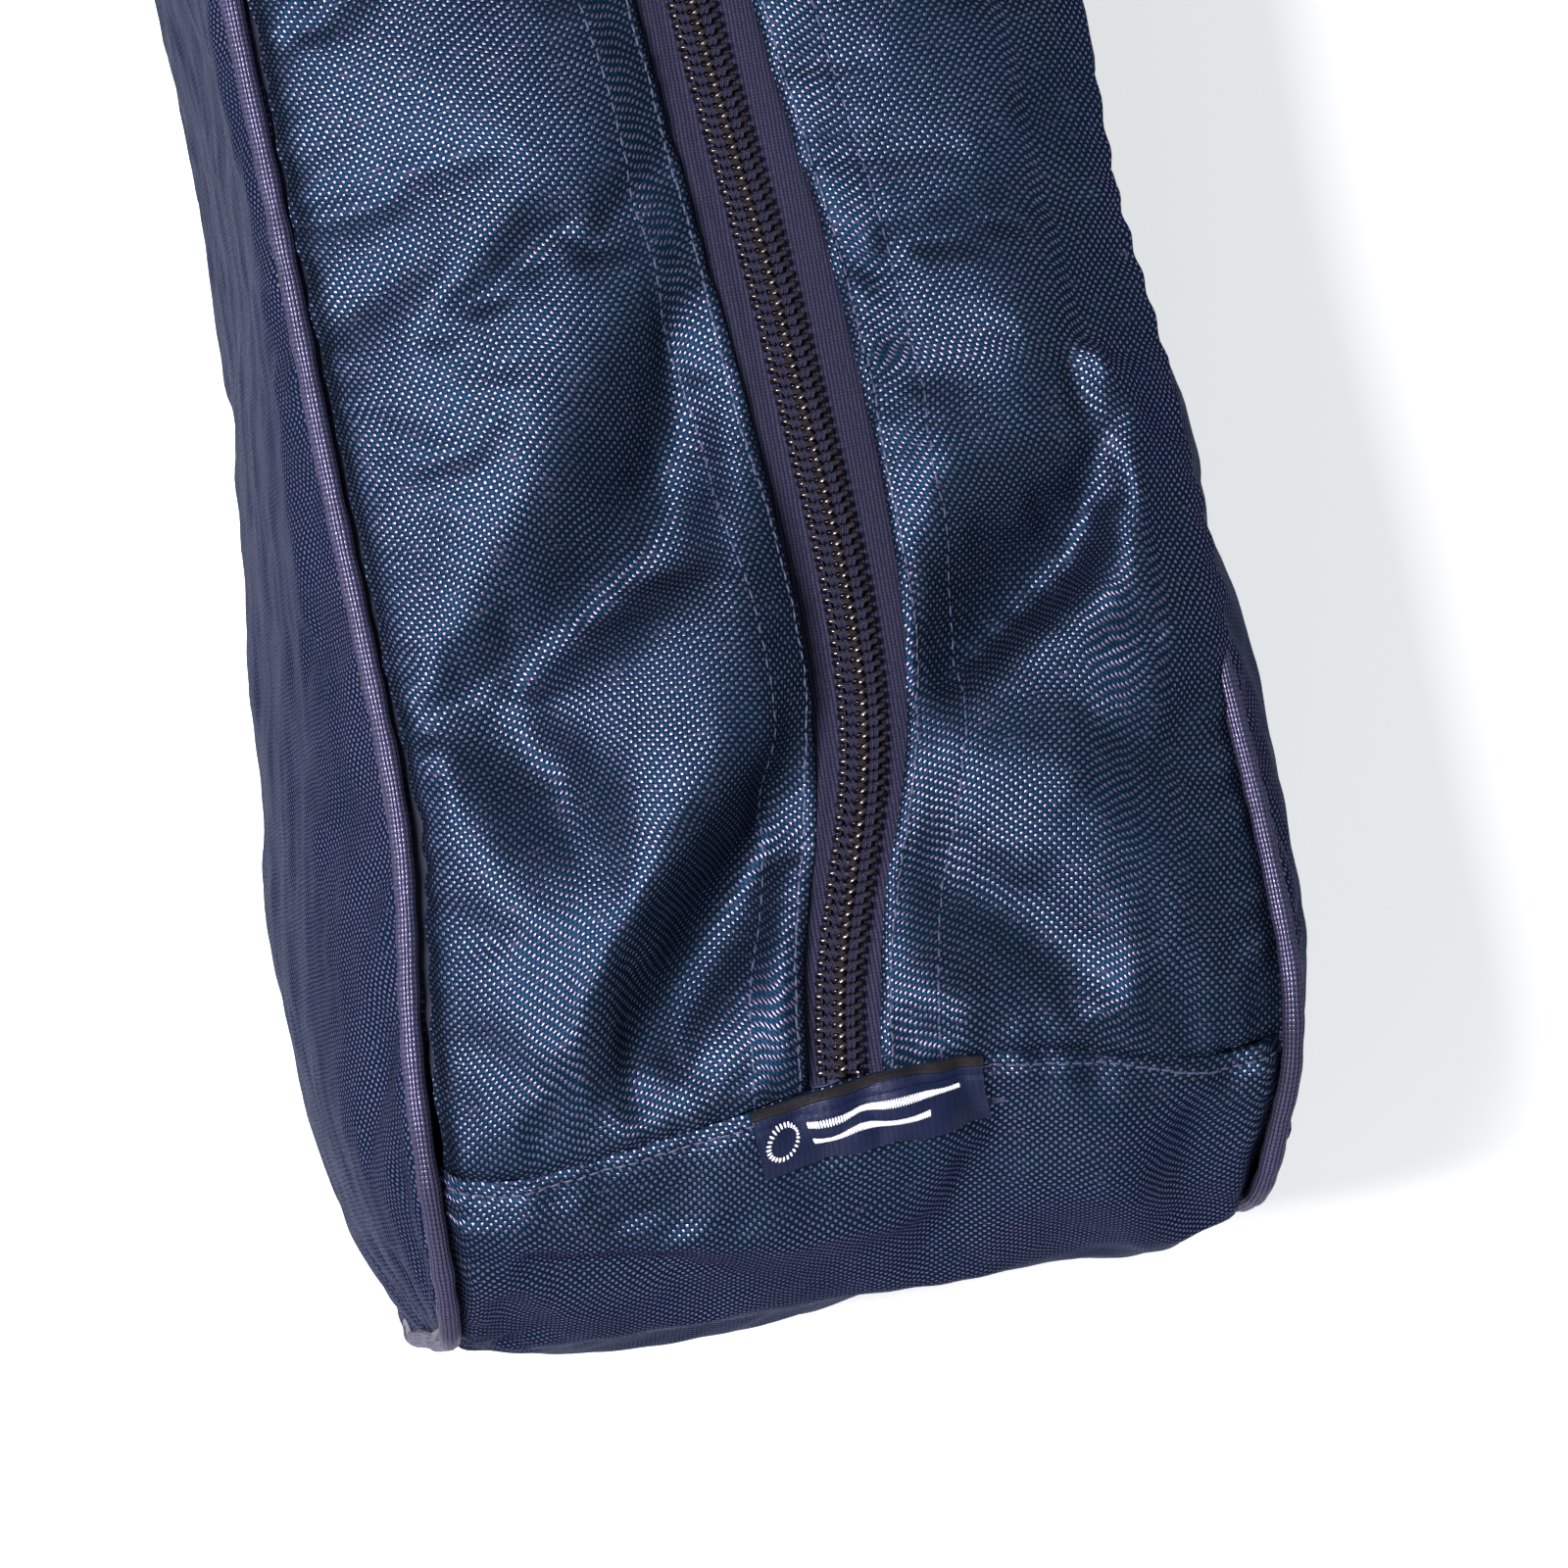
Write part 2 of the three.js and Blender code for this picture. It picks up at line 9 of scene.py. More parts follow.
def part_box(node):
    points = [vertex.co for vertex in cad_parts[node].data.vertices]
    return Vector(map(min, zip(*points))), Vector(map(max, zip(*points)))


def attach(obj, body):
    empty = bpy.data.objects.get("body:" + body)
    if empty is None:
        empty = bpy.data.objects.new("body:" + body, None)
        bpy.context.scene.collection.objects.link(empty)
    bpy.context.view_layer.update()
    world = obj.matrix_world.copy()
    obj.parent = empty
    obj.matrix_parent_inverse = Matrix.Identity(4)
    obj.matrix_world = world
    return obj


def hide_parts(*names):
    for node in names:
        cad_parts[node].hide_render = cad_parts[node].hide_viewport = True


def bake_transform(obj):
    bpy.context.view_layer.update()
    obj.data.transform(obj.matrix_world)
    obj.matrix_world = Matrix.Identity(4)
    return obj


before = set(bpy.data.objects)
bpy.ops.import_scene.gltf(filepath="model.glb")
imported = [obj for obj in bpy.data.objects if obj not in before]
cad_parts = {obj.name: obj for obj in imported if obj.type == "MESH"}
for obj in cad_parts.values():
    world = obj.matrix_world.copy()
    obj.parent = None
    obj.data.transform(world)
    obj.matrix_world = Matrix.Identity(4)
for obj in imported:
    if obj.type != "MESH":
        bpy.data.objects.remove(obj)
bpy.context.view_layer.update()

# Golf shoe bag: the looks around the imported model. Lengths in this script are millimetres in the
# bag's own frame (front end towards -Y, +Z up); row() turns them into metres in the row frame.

scene = bpy.context.scene

MM = 0.001
base_low, base_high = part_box("base_panel")
MIDDLE_Y = (base_low.y + base_high.y) / 2

# ---- The bag's measures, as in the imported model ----

HALF_WIDTH = 65
PIPING_RADIUS = 1.75
PIPING_BOTTOM = 3
PIPING_TOP = 180
TOP_CORNER = 38
BASE_CORNER = 28
CROWN = 8
WALL = 1.5
CORNER_Y = 127
CORNER_Z = PIPING_TOP - TOP_CORNER
BASE_CORNER_Y = 137
BASE_CORNER_Z = PIPING_BOTTOM + BASE_CORNER
HALF_LENGTH = CORNER_Y + TOP_CORNER
SEAM_ANGLE = math.radians(17)
FRONT_SEAM_Y = -140
SLIDER_Y = 104

SIDES = {-1: "left", 1: "right"}
ENDS = {-1: "front", 1: "rear"}

# Where the flaps end towards the front and towards the rear; their middle is at y = 0.
FLAP_FRONT_Y = -104
FLAP_REAR_Y = 132


def row(points):
    """Bag millimetres to row metres."""
    out = np.array(points, float) * MM
    out[..., 1] += MIDDLE_Y
    return out


def smooth(low, high, t):
    """0 below low, 1 above high and a soft step between them."""
    t = np.clip((np.asarray(t, float) - low) / (high - low), 0, 1)
    return t * t * (3 - 2 * t)


def through(knots, t):
    """A smooth curve through (place, value) knots, level beyond the ends."""
    xs, ys = np.array(knots, float).T
    slope = np.gradient(ys, xs)
    slope[[0, -1]] = 0
    t = np.clip(np.asarray(t, float), xs[0], xs[-1])
    i = np.clip(np.searchsorted(xs, t, side="right") - 1, 0, len(xs) - 2)
    h = xs[i + 1] - xs[i]
    s = (t - xs[i]) / h
    return (
        (2 * s**3 - 3 * s**2 + 1) * ys[i] + (s**3 - 2 * s**2 + s) * h * slope[i]
        + (3 * s**2 - 2 * s**3) * ys[i + 1] + (s**3 - s**2) * h * slope[i + 1]
    )


def bell(distance, width):
    return np.exp(-((distance / width) ** 2))


def unit(vectors, least=0.0):
    """Vectors of length 1; a length under least counts as least."""
    return vectors / np.maximum(np.linalg.norm(vectors, axis=-1, keepdims=True), least)


def way_along(points):
    """Distance from the first of a row of points to each of them."""
    return np.concatenate([[0], np.cumsum(np.linalg.norm(np.diff(points, axis=0), axis=1))])


def ripple(u, v, size, seed, count=9):
    """Soft uneven relief of about unit height; size is the usual distance between its hills."""
    draw = np.random.default_rng(seed)
    out = np.zeros(np.broadcast(u, v).shape)
    for _ in range(count):
        turn, phase = draw.uniform(0, 2 * math.pi, 2)
        k = 2 * math.pi / (size * draw.uniform(0.7, 1.6))
        out += np.sin(k * (u * math.cos(turn) + v * math.sin(turn)) + phase)
    return out / math.sqrt(count)


def waver(t, size, seed, count):
    """The same unevenness along one line."""
    return ripple(t, t * 0, size, seed, count)


# ---- How the bag lies: the top bows a little, the zip wanders, the cross seam waves ----

def bow(x, y, z=PIPING_TOP):
    """How far the upper part of the bag leans in x; the right edge stands out more near the front."""
    left = through([(-170, 0), (-125, 0.3), (-85, 4), (-62, 3.6), (-25, 2.3), (8, 1.5), (60, 0), (165, 0)], y)
    right = through(
        [(-170, -1), (-158, 0.4), (-146, 3.8), (-134, 5.5), (-88, 5), (-37, 2.5), (-6, -0.3), (30, -1),
         (90, 0), (165, 0)], y
    )
    share = np.clip((np.asarray(x, float) + HALF_WIDTH) / (2 * HALF_WIDTH), 0, 1)
    return smooth(40, 175, z) * (left + (right - left) * share)


def zip_x(y):
    return through(
        [(-150, -1.7), (-140, -1.7), (-128, -0.5), (-85, 10.8), (-24, 9.7), (30, 4.4), (96, 0), (150, 0)], y
    )


def fold_gap(y, side):
    """From the middle of the zip to the folded edge of the top panel."""
    left = [(-140, 4.9), (-128, 5.0), (-84, 7.4), (-24, 8.8), (30, 8.5), (96, 9.6), (140, 9.6)]
    right = [(-140, 6.6), (-128, 6.6), (-84, 7.2), (-24, 9.6), (30, 8.7), (96, 9.6), (140, 9.6)]
    return through(left if side < 0 else right, y)


def seam_shift(x, end):
    """The cross seam's wander along the bag: the front one waves, the rear one hardly does."""
    if end > 0:
        return 0.8 * np.sin(np.asarray(x) / 17.0)
    return through(
        [(-65, 1), (-60.5, -1.4), (-52.6, -2.5), (-41.6, -1.9), (-27.8, -0.3), (-16, 1.75),
         (4.8, 4.15), (18.3, 4.2), (34.9, 2.0), (54.4, -2.5), (64.9, -1)], x
    )


def seam_drop(y, side):
    """How far a run of top piping has slumped: the right one, under the edge of its top panel."""
    if side < 0:
        return 0 * np.asarray(y, float)
    return (1.0 * smooth(-137, -115, y) + 2.4 * smooth(-98, -66, y)) * (1 - smooth(84, 116, y))


def crown(x):
    """How far the middle of a gusset panel stands out beyond its pipings."""
    return CROWN * (1 - (np.clip(x, -HALF_WIDTH, HALF_WIDTH) / HALF_WIDTH) ** 2)


def seam_y(x, end):
    if end < 0:
        return FRONT_SEAM_Y + seam_shift(x, end)
    return CORNER_Y + (TOP_CORNER + crown(x)) * math.sin(SEAM_ANGLE) + seam_shift(x, end)


def top_height(x, y):
    """The top without its folds, falling over the rounded ends."""
    radius = TOP_CORNER + 0.8 + crown(x)
    over = np.clip(np.abs(y) - CORNER_Y, 0, None)
    return CORNER_Z + np.sqrt(np.clip(radius**2 - over**2, 1, None))


# ---- Folds ----

FOLD_DEPTH = 2.0
EDGE_SHARE = 0.35          # how much of the folds is left at the piping and at the cross seams


def stroke(x, y, path, height, width, other_width=None, ends=0.35):
    """A ridge along a path (a valley if height is negative), as wide as width on its left-hand side and
    other_width on its right-hand side, fading towards both ends."""
    path = np.array(path, float)
    before = way_along(path)
    steps = np.linalg.norm(np.diff(path, axis=0), axis=1)
    best = np.full(np.broadcast(x, y).shape, 1e9)
    along = np.zeros_like(best)
    side = np.zeros_like(best)
    for i, step in enumerate(steps):
        (ax, ay), (bx, by) = path[i], path[i + 1]
        ux, uy = (bx - ax) / step, (by - ay) / step
        t = np.clip((x - ax) * ux + (y - ay) * uy, 0, step)
        dx, dy = x - (ax + t * ux), y - (ay + t * uy)
        distance = np.hypot(dx, dy)
        nearer = distance < best
        best = np.where(nearer, distance, best)
        along = np.where(nearer, (before[i] + t) / before[-1], along)
        side = np.where(nearer, ux * dy - uy * dx, side)
    across = np.where(side > 0, width, other_width or width)
    taper = ends + (1 - ends) * np.sin(math.pi * np.clip(along, 0, 1)) ** 0.7
    return height * taper * np.exp(-((best / across) ** 2))


def strokes(x, y, rows):
    """The sum of several strokes, each a row of what stroke() needs after x and y."""
    return sum(stroke(x, y, *values) for values in rows)


def top_folds(x, y):
    """Folds of the top, in mm of height. b is the distance behind the front cross seam."""
    b = y - FRONT_SEAM_Y
    left = strokes(x, b, (
        # A long hump beside the piping; its far side falls to a valley that turns away from the zip.
        ([(-12, 176), (-18, 146), (-25, 124), (-33, 104), (-44, 86)], 3.4, 13, 20),
        ([(-5, 126), (-7.5, 107), (-12, 88), (-27, 80), (-38, 74)], -4.4, 5.5, 14),
        ([(-38, 76), (-41, 66), (-34, 55), (-32, 44), (-37, 32)], -3.0, 5, 9),
        ([(-1, 96), (-5, 80), (-13, 66), (-20, 52)], 2.6, 9, 15),
        # The crest that runs from the zip down to the corner, steep on its front side.
        ([(4, 66), (-8, 56), (-19, 46.5), (-30, 35), (-38, 24), (-45, 12)], 4.2, 6, 13),
        ([(1, 50), (-9, 39), (-19, 26), (-31, 11)], -4.6, 9, 8),
        ([(-54, 60), (-52, 40), (-50, 20)], 1.6, 7),
        ([(-4, 30), (-6, 14), (-10, 2)], 1.2, 5),
    ))
    right = strokes(x, b, (
        # The pointed fold: its crest turns from the zip to the piping, and the pocket inside it falls
        # to a valley that rises sharply again.
        ([(18, 66), (20, 82), (28, 93), (42, 97), (53, 99)], 3.6, 15, 11, 0.6),
        ([(53, 97), (50.5, 86), (47, 77), (35, 69.5), (24, 61)], -4.6, 4.5, 15, 0.6),
        ([(43, 130), (46, 114), (45, 100)], 2.0, 14, 10),
        ([(62, 94), (63, 78), (61, 62), (50, 50)], 3.2, 10, 13),
        ([(20, 52), (38, 44), (52, 30), (58, 14)], 1.8, 9, 7),
        ([(16, 34), (30, 26), (42, 10)], -2.0, 8),
        ([(12, 18), (22, 8)], 1.0, 5),
    ))
    rear = strokes(x, b, (
        ([(-52, 190), (-30, 206), (-12, 214)], 2.8, 11, 7),
        ([(-48, 212), (-26, 226), (-14, 246)], -3.0, 8),
        ([(54, 178), (36, 190), (14, 196)], 2.6, 9, 12),
        ([(50, 200), (32, 214), (22, 238)], -3.2, 9, 7),
        ([(50, 250), (30, 262), (16, 268)], 1.8, 8),
    ))
    edge = np.clip((HALF_WIDTH - np.abs(x)) / 9, 0, 1)
    return FOLD_DEPTH * (left + right + rear) * (EDGE_SHARE + (1 - EDGE_SHARE) * edge)


# ---- Mesh helpers ----

def add_object(name, data):
    obj = bpy.data.objects.new(name, data)
    scene.collection.objects.link(obj)
    return obj


def make_mesh(name, points, faces, uv, materials, slots=None, sharp=50):
    """A smooth-shaded mesh from bag millimetres; uv holds one weave place in mm for each vertex."""
    mesh = bpy.data.meshes.new(name)
    mesh.from_pydata(row(points).tolist(), [], [tuple(int(i) for i in f) for f in faces])
    for material in materials:
        mesh.materials.append(material)
    if slots is not None:
        mesh.polygons.foreach_set("material_index", np.array(slots, np.int32))
    corner = np.empty(len(mesh.loops), np.int32)
    mesh.loops.foreach_get("vertex_index", corner)
    layer = mesh.uv_layers.new(name="Weave")
    layer.data.foreach_set("uv", np.array(uv, np.float32)[corner].ravel())
    mesh.polygons.foreach_set("use_smooth", [True] * len(mesh.polygons))
    mesh.set_sharp_from_angle(angle=math.radians(sharp))
    mesh.update()
    return add_object(name, mesh)


def graded(count, start, end, reach):
    """Numbers from 0 to 1 that crowd together at the start and at the end, within reach of it."""
    t = np.linspace(0, 1, 2000)
    density = 1 + start * np.exp(-t / reach) + end * np.exp(-(1 - t) / reach)
    total = np.concatenate([[0], np.cumsum((density[1:] + density[:-1]) / 2)])
    return np.interp(np.linspace(0, 1, count), total / total[-1], t)


def resample(points, where, axis):
    """Smooth curve through a grid's rows (axis 0) or columns (axis 1) at places given in row numbers."""
    p = np.moveaxis(points, axis, 0)
    n = len(p)
    i = np.clip(np.floor(where).astype(int), 0, n - 2)
    t = (where - i).reshape((-1,) + (1,) * (p.ndim - 1))
    padded = np.concatenate([2 * p[:1] - p[1:2], p, 2 * p[-1:] - p[-2:-1]])
    a, b, c, d = (padded[i + k] for k in range(4))
    out = 0.5 * (
        2 * b + (c - a) * t + (2 * a - 5 * b + 4 * c - d) * t**2 + (3 * b - a - 3 * c + d) * t**3
    )
    return np.moveaxis(out, 0, axis)


def refine(points, u, v):
    """The same surface on a finer grid, at shares u of the way over its rows and v over its columns."""
    rows, columns = points.shape[:2]
    return resample(resample(points, u * (rows - 1), 0), v * (columns - 1), 1)


def grid_normals(points):
    return unit(np.cross(np.gradient(points, axis=0), np.gradient(points, axis=1)), 1e-9)


def arc(points, axis):
    """Distance along a grid from its first row or column."""
    step = np.linalg.norm(np.diff(points, axis=axis), axis=2)
    zero = np.zeros_like(np.take(step, [0], axis=axis))
    return np.concatenate([zero, np.cumsum(step, axis=axis)], axis=axis)


def even_grid(u_range, rows, v_range, columns):
    """Two arrays: u runs evenly over the rows and v over the columns."""
    return np.meshgrid(np.linspace(*u_range, rows), np.linspace(*v_range, columns), indexing="ij")


def grid_faces(nu, nv, offset=0):
    i, j = np.meshgrid(np.arange(nu - 1), np.arange(nv - 1), indexing="ij")
    a = (i * nv + j).ravel() + offset
    return np.stack([a, a + nv, a + nv + 1, a + 1], axis=1)


def shell(name, outer, thickness, uv, materials):
    """A closed skin from a grid whose normals face out: outer face, lining face and edges. The last of
    the materials is the lining's."""
    nu, nv = outer.shape[:2]
    inner = outer - grid_normals(outer) * np.broadcast_to(thickness, (nu, nv))[..., None]
    count = nu * nv
    front = grid_faces(nu, nv)
    back = grid_faces(nu, nv, count)[:, ::-1]
    index = np.arange(count).reshape(nu, nv)
    rim = np.concatenate([index[:, 0], index[-1, 1:], index[-2::-1, -1], index[0, -2:0:-1]])
    after = np.roll(rim, -1)
    edges = np.stack([after, rim, rim + count, after + count], axis=1)
    slots = np.repeat([0, len(materials) - 1, 0], [len(front), len(back), len(edges)])
    points = np.concatenate([outer.reshape(-1, 3), inner.reshape(-1, 3)])
    flat = uv.reshape(-1, 2)
    return make_mesh(name, points, np.concatenate([front, back, edges]), np.concatenate([flat, flat]),
                     materials, slots)


def sweep(name, centre, side, up, profile, materials, closed=False, scale=None, sharp=50):
    """A profile of (side, up) places carried along a centreline; scale changes it along the way."""
    n, m = len(centre), len(profile)
    profile = np.array(profile, float)
    scale = np.ones(n) if scale is None else scale
    points = (
        centre[:, None]
        + side[:, None] * (profile[None, :, 0:1] * scale[:, None, None])
        + up[:, None] * (profile[None, :, 1:2] * scale[:, None, None])
    )
    along = way_along(centre)
    around = way_along(np.concatenate([profile, profile[:1]]))[:-1]
    uv = np.stack(np.meshgrid(along, around, indexing="ij"), axis=2).reshape(-1, 2)
    rows = np.arange(n if closed else n - 1)
    i, j = np.meshgrid(rows, np.arange(m), indexing="ij")
    a, b = (i % n) * m, ((i + 1) % n) * m
    nxt = (j + 1) % m
    faces = [tuple(f) for f in np.stack([a + j, b + j, b + nxt, a + nxt], axis=2).reshape(-1, 4)]
    if not closed:
        faces += [tuple(range(m)), tuple(range(n * m - 1, (n - 1) * m - 1, -1))]
    obj = make_mesh(name, points.reshape(-1, 3), faces, uv, materials, sharp=sharp)
    outward(obj)
    return obj


def outward(obj):
    """Turns a closed mesh's faces outward."""
    work = bmesh.new()
    work.from_mesh(obj.data)
    bmesh.ops.recalc_face_normals(work, faces=work.faces)
    work.to_mesh(obj.data)
    work.free()


def circle(radius, sides):
    turn = np.arange(sides) * 2 * math.pi / sides
    return np.stack([radius * np.cos(turn), radius * np.sin(turn)], axis=1)


def sideways(centre):
    """The x direction at each point of a centreline."""
    across = np.zeros_like(centre)
    across[:, 0] = 1
    return across


def rounded_strip(half_width, half_height, corner, steps=3):
    """Outline of a flat strip with rounded corners."""
    out = []
    for cx, cy, start in ((1, 1, 0), (-1, 1, 90), (-1, -1, 180), (1, -1, 270)):
        for k in range(steps + 1):
            turn = math.radians(start + 90 * k / steps)
            out.append((
                cx * (half_width - corner) + corner * math.cos(turn),
                cy * (half_height - corner) + corner * math.sin(turn),
            ))
    return out


# ---- Materials ----

class Finish:
    """A node material: small helpers around one Principled shader."""

    def __init__(self, name, **values):
        self.material = bpy.data.materials.new(name)
        self.material.use_nodes = True
        self.tree = self.material.node_tree
        self.shader = self.tree.nodes["Principled BSDF"]
        for key, value in values.items():
            self.put(self.shader.inputs[key.replace("_", " ")], value)

    def node(self, kind, **settings):
        node = self.tree.nodes.new(kind)
        for key, value in settings.items():
            setattr(node, key, value)
        return node

    def put(self, socket, value):
        """Links a socket, or sets it to a number or a colour (r, g, b)."""
        if isinstance(value, bpy.types.NodeSocket):
            self.tree.links.new(value, socket)
        else:
            socket.default_value = (*value, 1.0) if isinstance(value, tuple) else value

    def math(self, operation, a, b=0.0):
        node = self.node("ShaderNodeMath", operation=operation)
        self.put(node.inputs[0], a)
        self.put(node.inputs[1], b)
        return node.outputs[0]

    def weave_place(self, wander):
        """The place on the cloth in mm, as u along and v across its threads, which wander a little."""
        place = self.node("ShaderNodeUVMap", uv_map="Weave").outputs["UV"]
        split = self.node("ShaderNodeSeparateXYZ")
        self.put(split.inputs[0], place)
        u, v = split.outputs[0], split.outputs[1]
        u, v = (
            self.math("ADD", way, self.math("MULTIPLY", self.noise(place, scale, 2), wander))
            for way, scale in ((u, 0.12), (v, 0.17))
        )
        return place, u, v

    def noise(self, place, scale, detail, stretch=None):
        node = self.node("ShaderNodeTexNoise")
        if stretch:
            mapping = self.node("ShaderNodeMapping")
            mapping.inputs["Scale"].default_value = stretch
            self.put(mapping.inputs["Vector"], place)
            place = mapping.outputs[0]
        self.put(node.inputs["Vector"], place)
        node.inputs["Scale"].default_value = scale
        node.inputs["Detail"].default_value = detail
        return node.outputs["Fac"]

    def wave(self, value, period):
        """Sine of a length, one full turn to two periods, so each half wave is one thread."""
        return self.math("SINE", self.math("MULTIPLY", value, math.pi / period))

    def spread(self, value, low, high, to_low=0.0, to_high=1.0):
        node = self.node("ShaderNodeMapRange", interpolation_type="SMOOTHSTEP")
        self.put(node.inputs["Value"], value)
        for key, number in (("From Min", low), ("From Max", high), ("To Min", to_low), ("To Max", to_high)):
            node.inputs[key].default_value = number
        return node.outputs[0]

    def mix(self, factor, a, b):
        node = self.node("ShaderNodeMix", data_type="RGBA")
        self.put(node.inputs["Factor"], factor)
        self.put(node.inputs[6], a)
        self.put(node.inputs[7], b)
        return node.outputs[2]

    def color(self, value):
        self.put(self.shader.inputs["Base Color"], value)

    def roughness(self, value):
        self.put(self.shader.inputs["Roughness"], value)

    def bump(self, height, distance, strength=1.0):
        node = self.node("ShaderNodeBump")
        node.inputs["Distance"].default_value = distance * MM
        node.inputs["Strength"].default_value = strength
        self.put(node.inputs["Height"], height)
        self.put(self.shader.inputs["Normal"], node.outputs[0])


def woven(name, thread, dark, light, warm, height, **values):
    """Coarse plain weave: rounded thread crossings, with painted shade in the gaps between threads and a
    painted sheen that makes them lighter where the warp lies on top.
    """
    f = Finish(name, **values)
    place, u, v = f.weave_place(wander=0.9)
    crossing = f.math("MULTIPLY", f.wave(u, thread), f.wave(v, thread))
    lift = f.math("POWER", f.math("ABSOLUTE", crossing), 0.6)
    warp_sheen = f.spread(crossing, 0.05, 0.8)
    blotch = f.noise(place, 0.06, 3)
    slub = f.noise(place, 0.9, 2, stretch=(0.25, 2.4, 1))
    # Painted shade: the colour is darker in the gaps between threads and lighter on the crossings.
    base = f.mix(f.spread(lift, 0.1, 0.9), dark, light)
    # Painted sheen: the crossings where the warp lies on top take the pale warm colour.
    base = f.mix(warp_sheen, base, warm)
    base = f.mix(f.spread(blotch, 0.35, 0.7, 0.0, 0.3), base, light)
    base = f.mix(f.spread(slub, 0.55, 0.8, 0.0, 0.25), base, warm)
    f.color(base)
    gloss = f.spread(crossing, -0.5, 0.35, 0.56, 0.35)
    f.roughness(f.math("ADD", gloss, f.spread(slub, 0.3, 0.8, 0.0, 0.06)))
    # The crossings where the warp is on top stand proud of the others.
    proud = f.math("MULTIPLY", lift, f.spread(crossing, -0.3, 0.3, 0.35, 1.0))
    f.bump(f.math("ADD", proud, f.math("MULTIPLY", slub, 0.2)), height)
    return f.material


def ribbed(name, rib, dark, light, height, across=None, **values):
    """Cloth with ribs along v, crossed by finer threads, with painted shade darker in the grooves between
    them.
    """
    f = Finish(name, **values)
    place, u, v = f.weave_place(wander=0.3)
    ribs = f.math("ABSOLUTE", f.wave(v, rib))
    threads = f.math("ABSOLUTE", f.wave(u, across or rib * 0.7))
    relief = f.math("MULTIPLY", f.math("POWER", ribs, 0.6), f.spread(threads, 0, 1, 0.6, 1.0))
    fuzz = f.noise(place, 1.8, 3)
    # Painted shade: the colour darkens where the relief is low, in the grooves between ribs and threads.
    base = f.mix(f.spread(relief, 0.15, 0.95), dark, light)
    base = f.mix(f.spread(fuzz, 0.45, 0.75, 0, 0.4), base, dark)
    f.color(base)
    f.roughness(f.spread(fuzz, 0.3, 0.7, values["Roughness"] - 0.08, values["Roughness"] + 0.1))
    f.bump(f.math("ADD", relief, f.math("MULTIPLY", fuzz, 0.25)), height)
    return f.material


def lacquered(name, base, edge, roughness, metallic, **values):
    """Lacquer or nylon: slight colour and gloss variation and a fine unevenness."""
    f = Finish(name, Metallic=metallic, **values)
    place = f.node("ShaderNodeTexCoord").outputs["Object"]
    cloud = f.noise(place, 450, 3)
    fine = f.noise(place, 2100, 2)
    f.color(f.mix(f.spread(cloud, 0.35, 0.7), base, edge))
    f.roughness(f.spread(fine, 0.3, 0.75, roughness - 0.06, roughness + 0.12))
    f.bump(fine, 0.03, 0.5)
    return f.material


# In the weaves the dark colour is painted shade in the thread gaps and the warm colour a painted sheen on the
# warp floats.
FABRIC = woven(
    "shell_weave", 0.72, (0.001, 0.012, 0.021), (0.006, 0.022, 0.044), (0.152, 0.132, 0.225), height=0.11,
    Metallic=0.85, IOR=1.12, Specular_IOR_Level=0.4, Specular_Tint=(0.03, 0.12, 0.20),
)
LINING = woven(
    "lining_taffeta", 0.3, (0.006, 0.008, 0.014), (0.016, 0.021, 0.036), (0.024, 0.03, 0.05), height=0.05,
    Specular_IOR_Level=0.4,
)
# In the ribbed cloths the dark colour is painted shade in the grooves, and a random fuzz also darkens towards
# it.
PIPING = ribbed(
    "piping_weave", 0.7, (0.003, 0.014, 0.030), (0.085, 0.076, 0.125), 0.14, across=0.8, Roughness=0.36,
    Metallic=0.7, IOR=1.15, Specular_Tint=(0.08, 0.13, 0.22),
)
TAPE = ribbed(
    "zip_tape_knit", 0.62, (0.002, 0.002, 0.009), (0.016, 0.018, 0.043), 0.14, across=0.5, Roughness=0.7,
    Specular_IOR_Level=0.18, Sheen_Weight=0.03, Sheen_Tint=(0.6, 0.5, 0.85),
)
WEBBING = ribbed(
    "webbing_ribs", 1.25, (0.003, 0.007, 0.022), (0.012, 0.020, 0.052), 0.22, across=1.6, Roughness=0.6,
    Specular_IOR_Level=0.3, Sheen_Weight=0.03, Sheen_Tint=(0.6, 0.6, 0.9),
)
BINDING = ribbed(
    "binding_tape", 0.8, (0.01, 0.012, 0.026), (0.03, 0.036, 0.07), 0.08, Roughness=0.7,
    Specular_IOR_Level=0.3,
)
SATIN = ribbed(
    "label_satin", 0.24, (0.001, 0.003, 0.012), (0.004, 0.008, 0.030), 0.035, across=0.9, Roughness=0.5,
    Specular_IOR_Level=0.22, Specular_Tint=(0.7, 0.75, 1.0),
)
LABEL_EDGE = ribbed(
    "label_selvedge", 0.3, (0.001, 0.001, 0.002), (0.006, 0.006, 0.008), 0.04, Roughness=0.65,
    Specular_IOR_Level=0.15,
)
THREAD_WHITE = ribbed(
    "thread_white", 0.2, (0.45, 0.46, 0.50), (0.80, 0.80, 0.84), 0.04, across=0.5, Roughness=0.5,
)
THREAD = ribbed(
    "thread_blue", 0.25, (0.010, 0.018, 0.045), (0.05, 0.06, 0.12), 0.03, across=0.35, Roughness=0.5,
    Sheen_Weight=0.1,
)
THREAD_DARK = ribbed(
    "thread_navy", 0.25, (0.012, 0.018, 0.05), (0.05, 0.06, 0.13), 0.03, across=0.35, Roughness=0.55,
)
NYLON = lacquered(
    "coil_nylon", (0.002, 0.002, 0.003), (0.007, 0.006, 0.008), 0.22, 0.0,
    Specular_IOR_Level=0.9, Specular_Tint=(1.0, 0.84, 0.86),
)
METAL = lacquered(
    "slider_lacquer", (0.10, 0.092, 0.095), (0.17, 0.155, 0.15), 0.3, 1.0,
    Coat_Weight=0.25, Coat_Roughness=0.2,
)
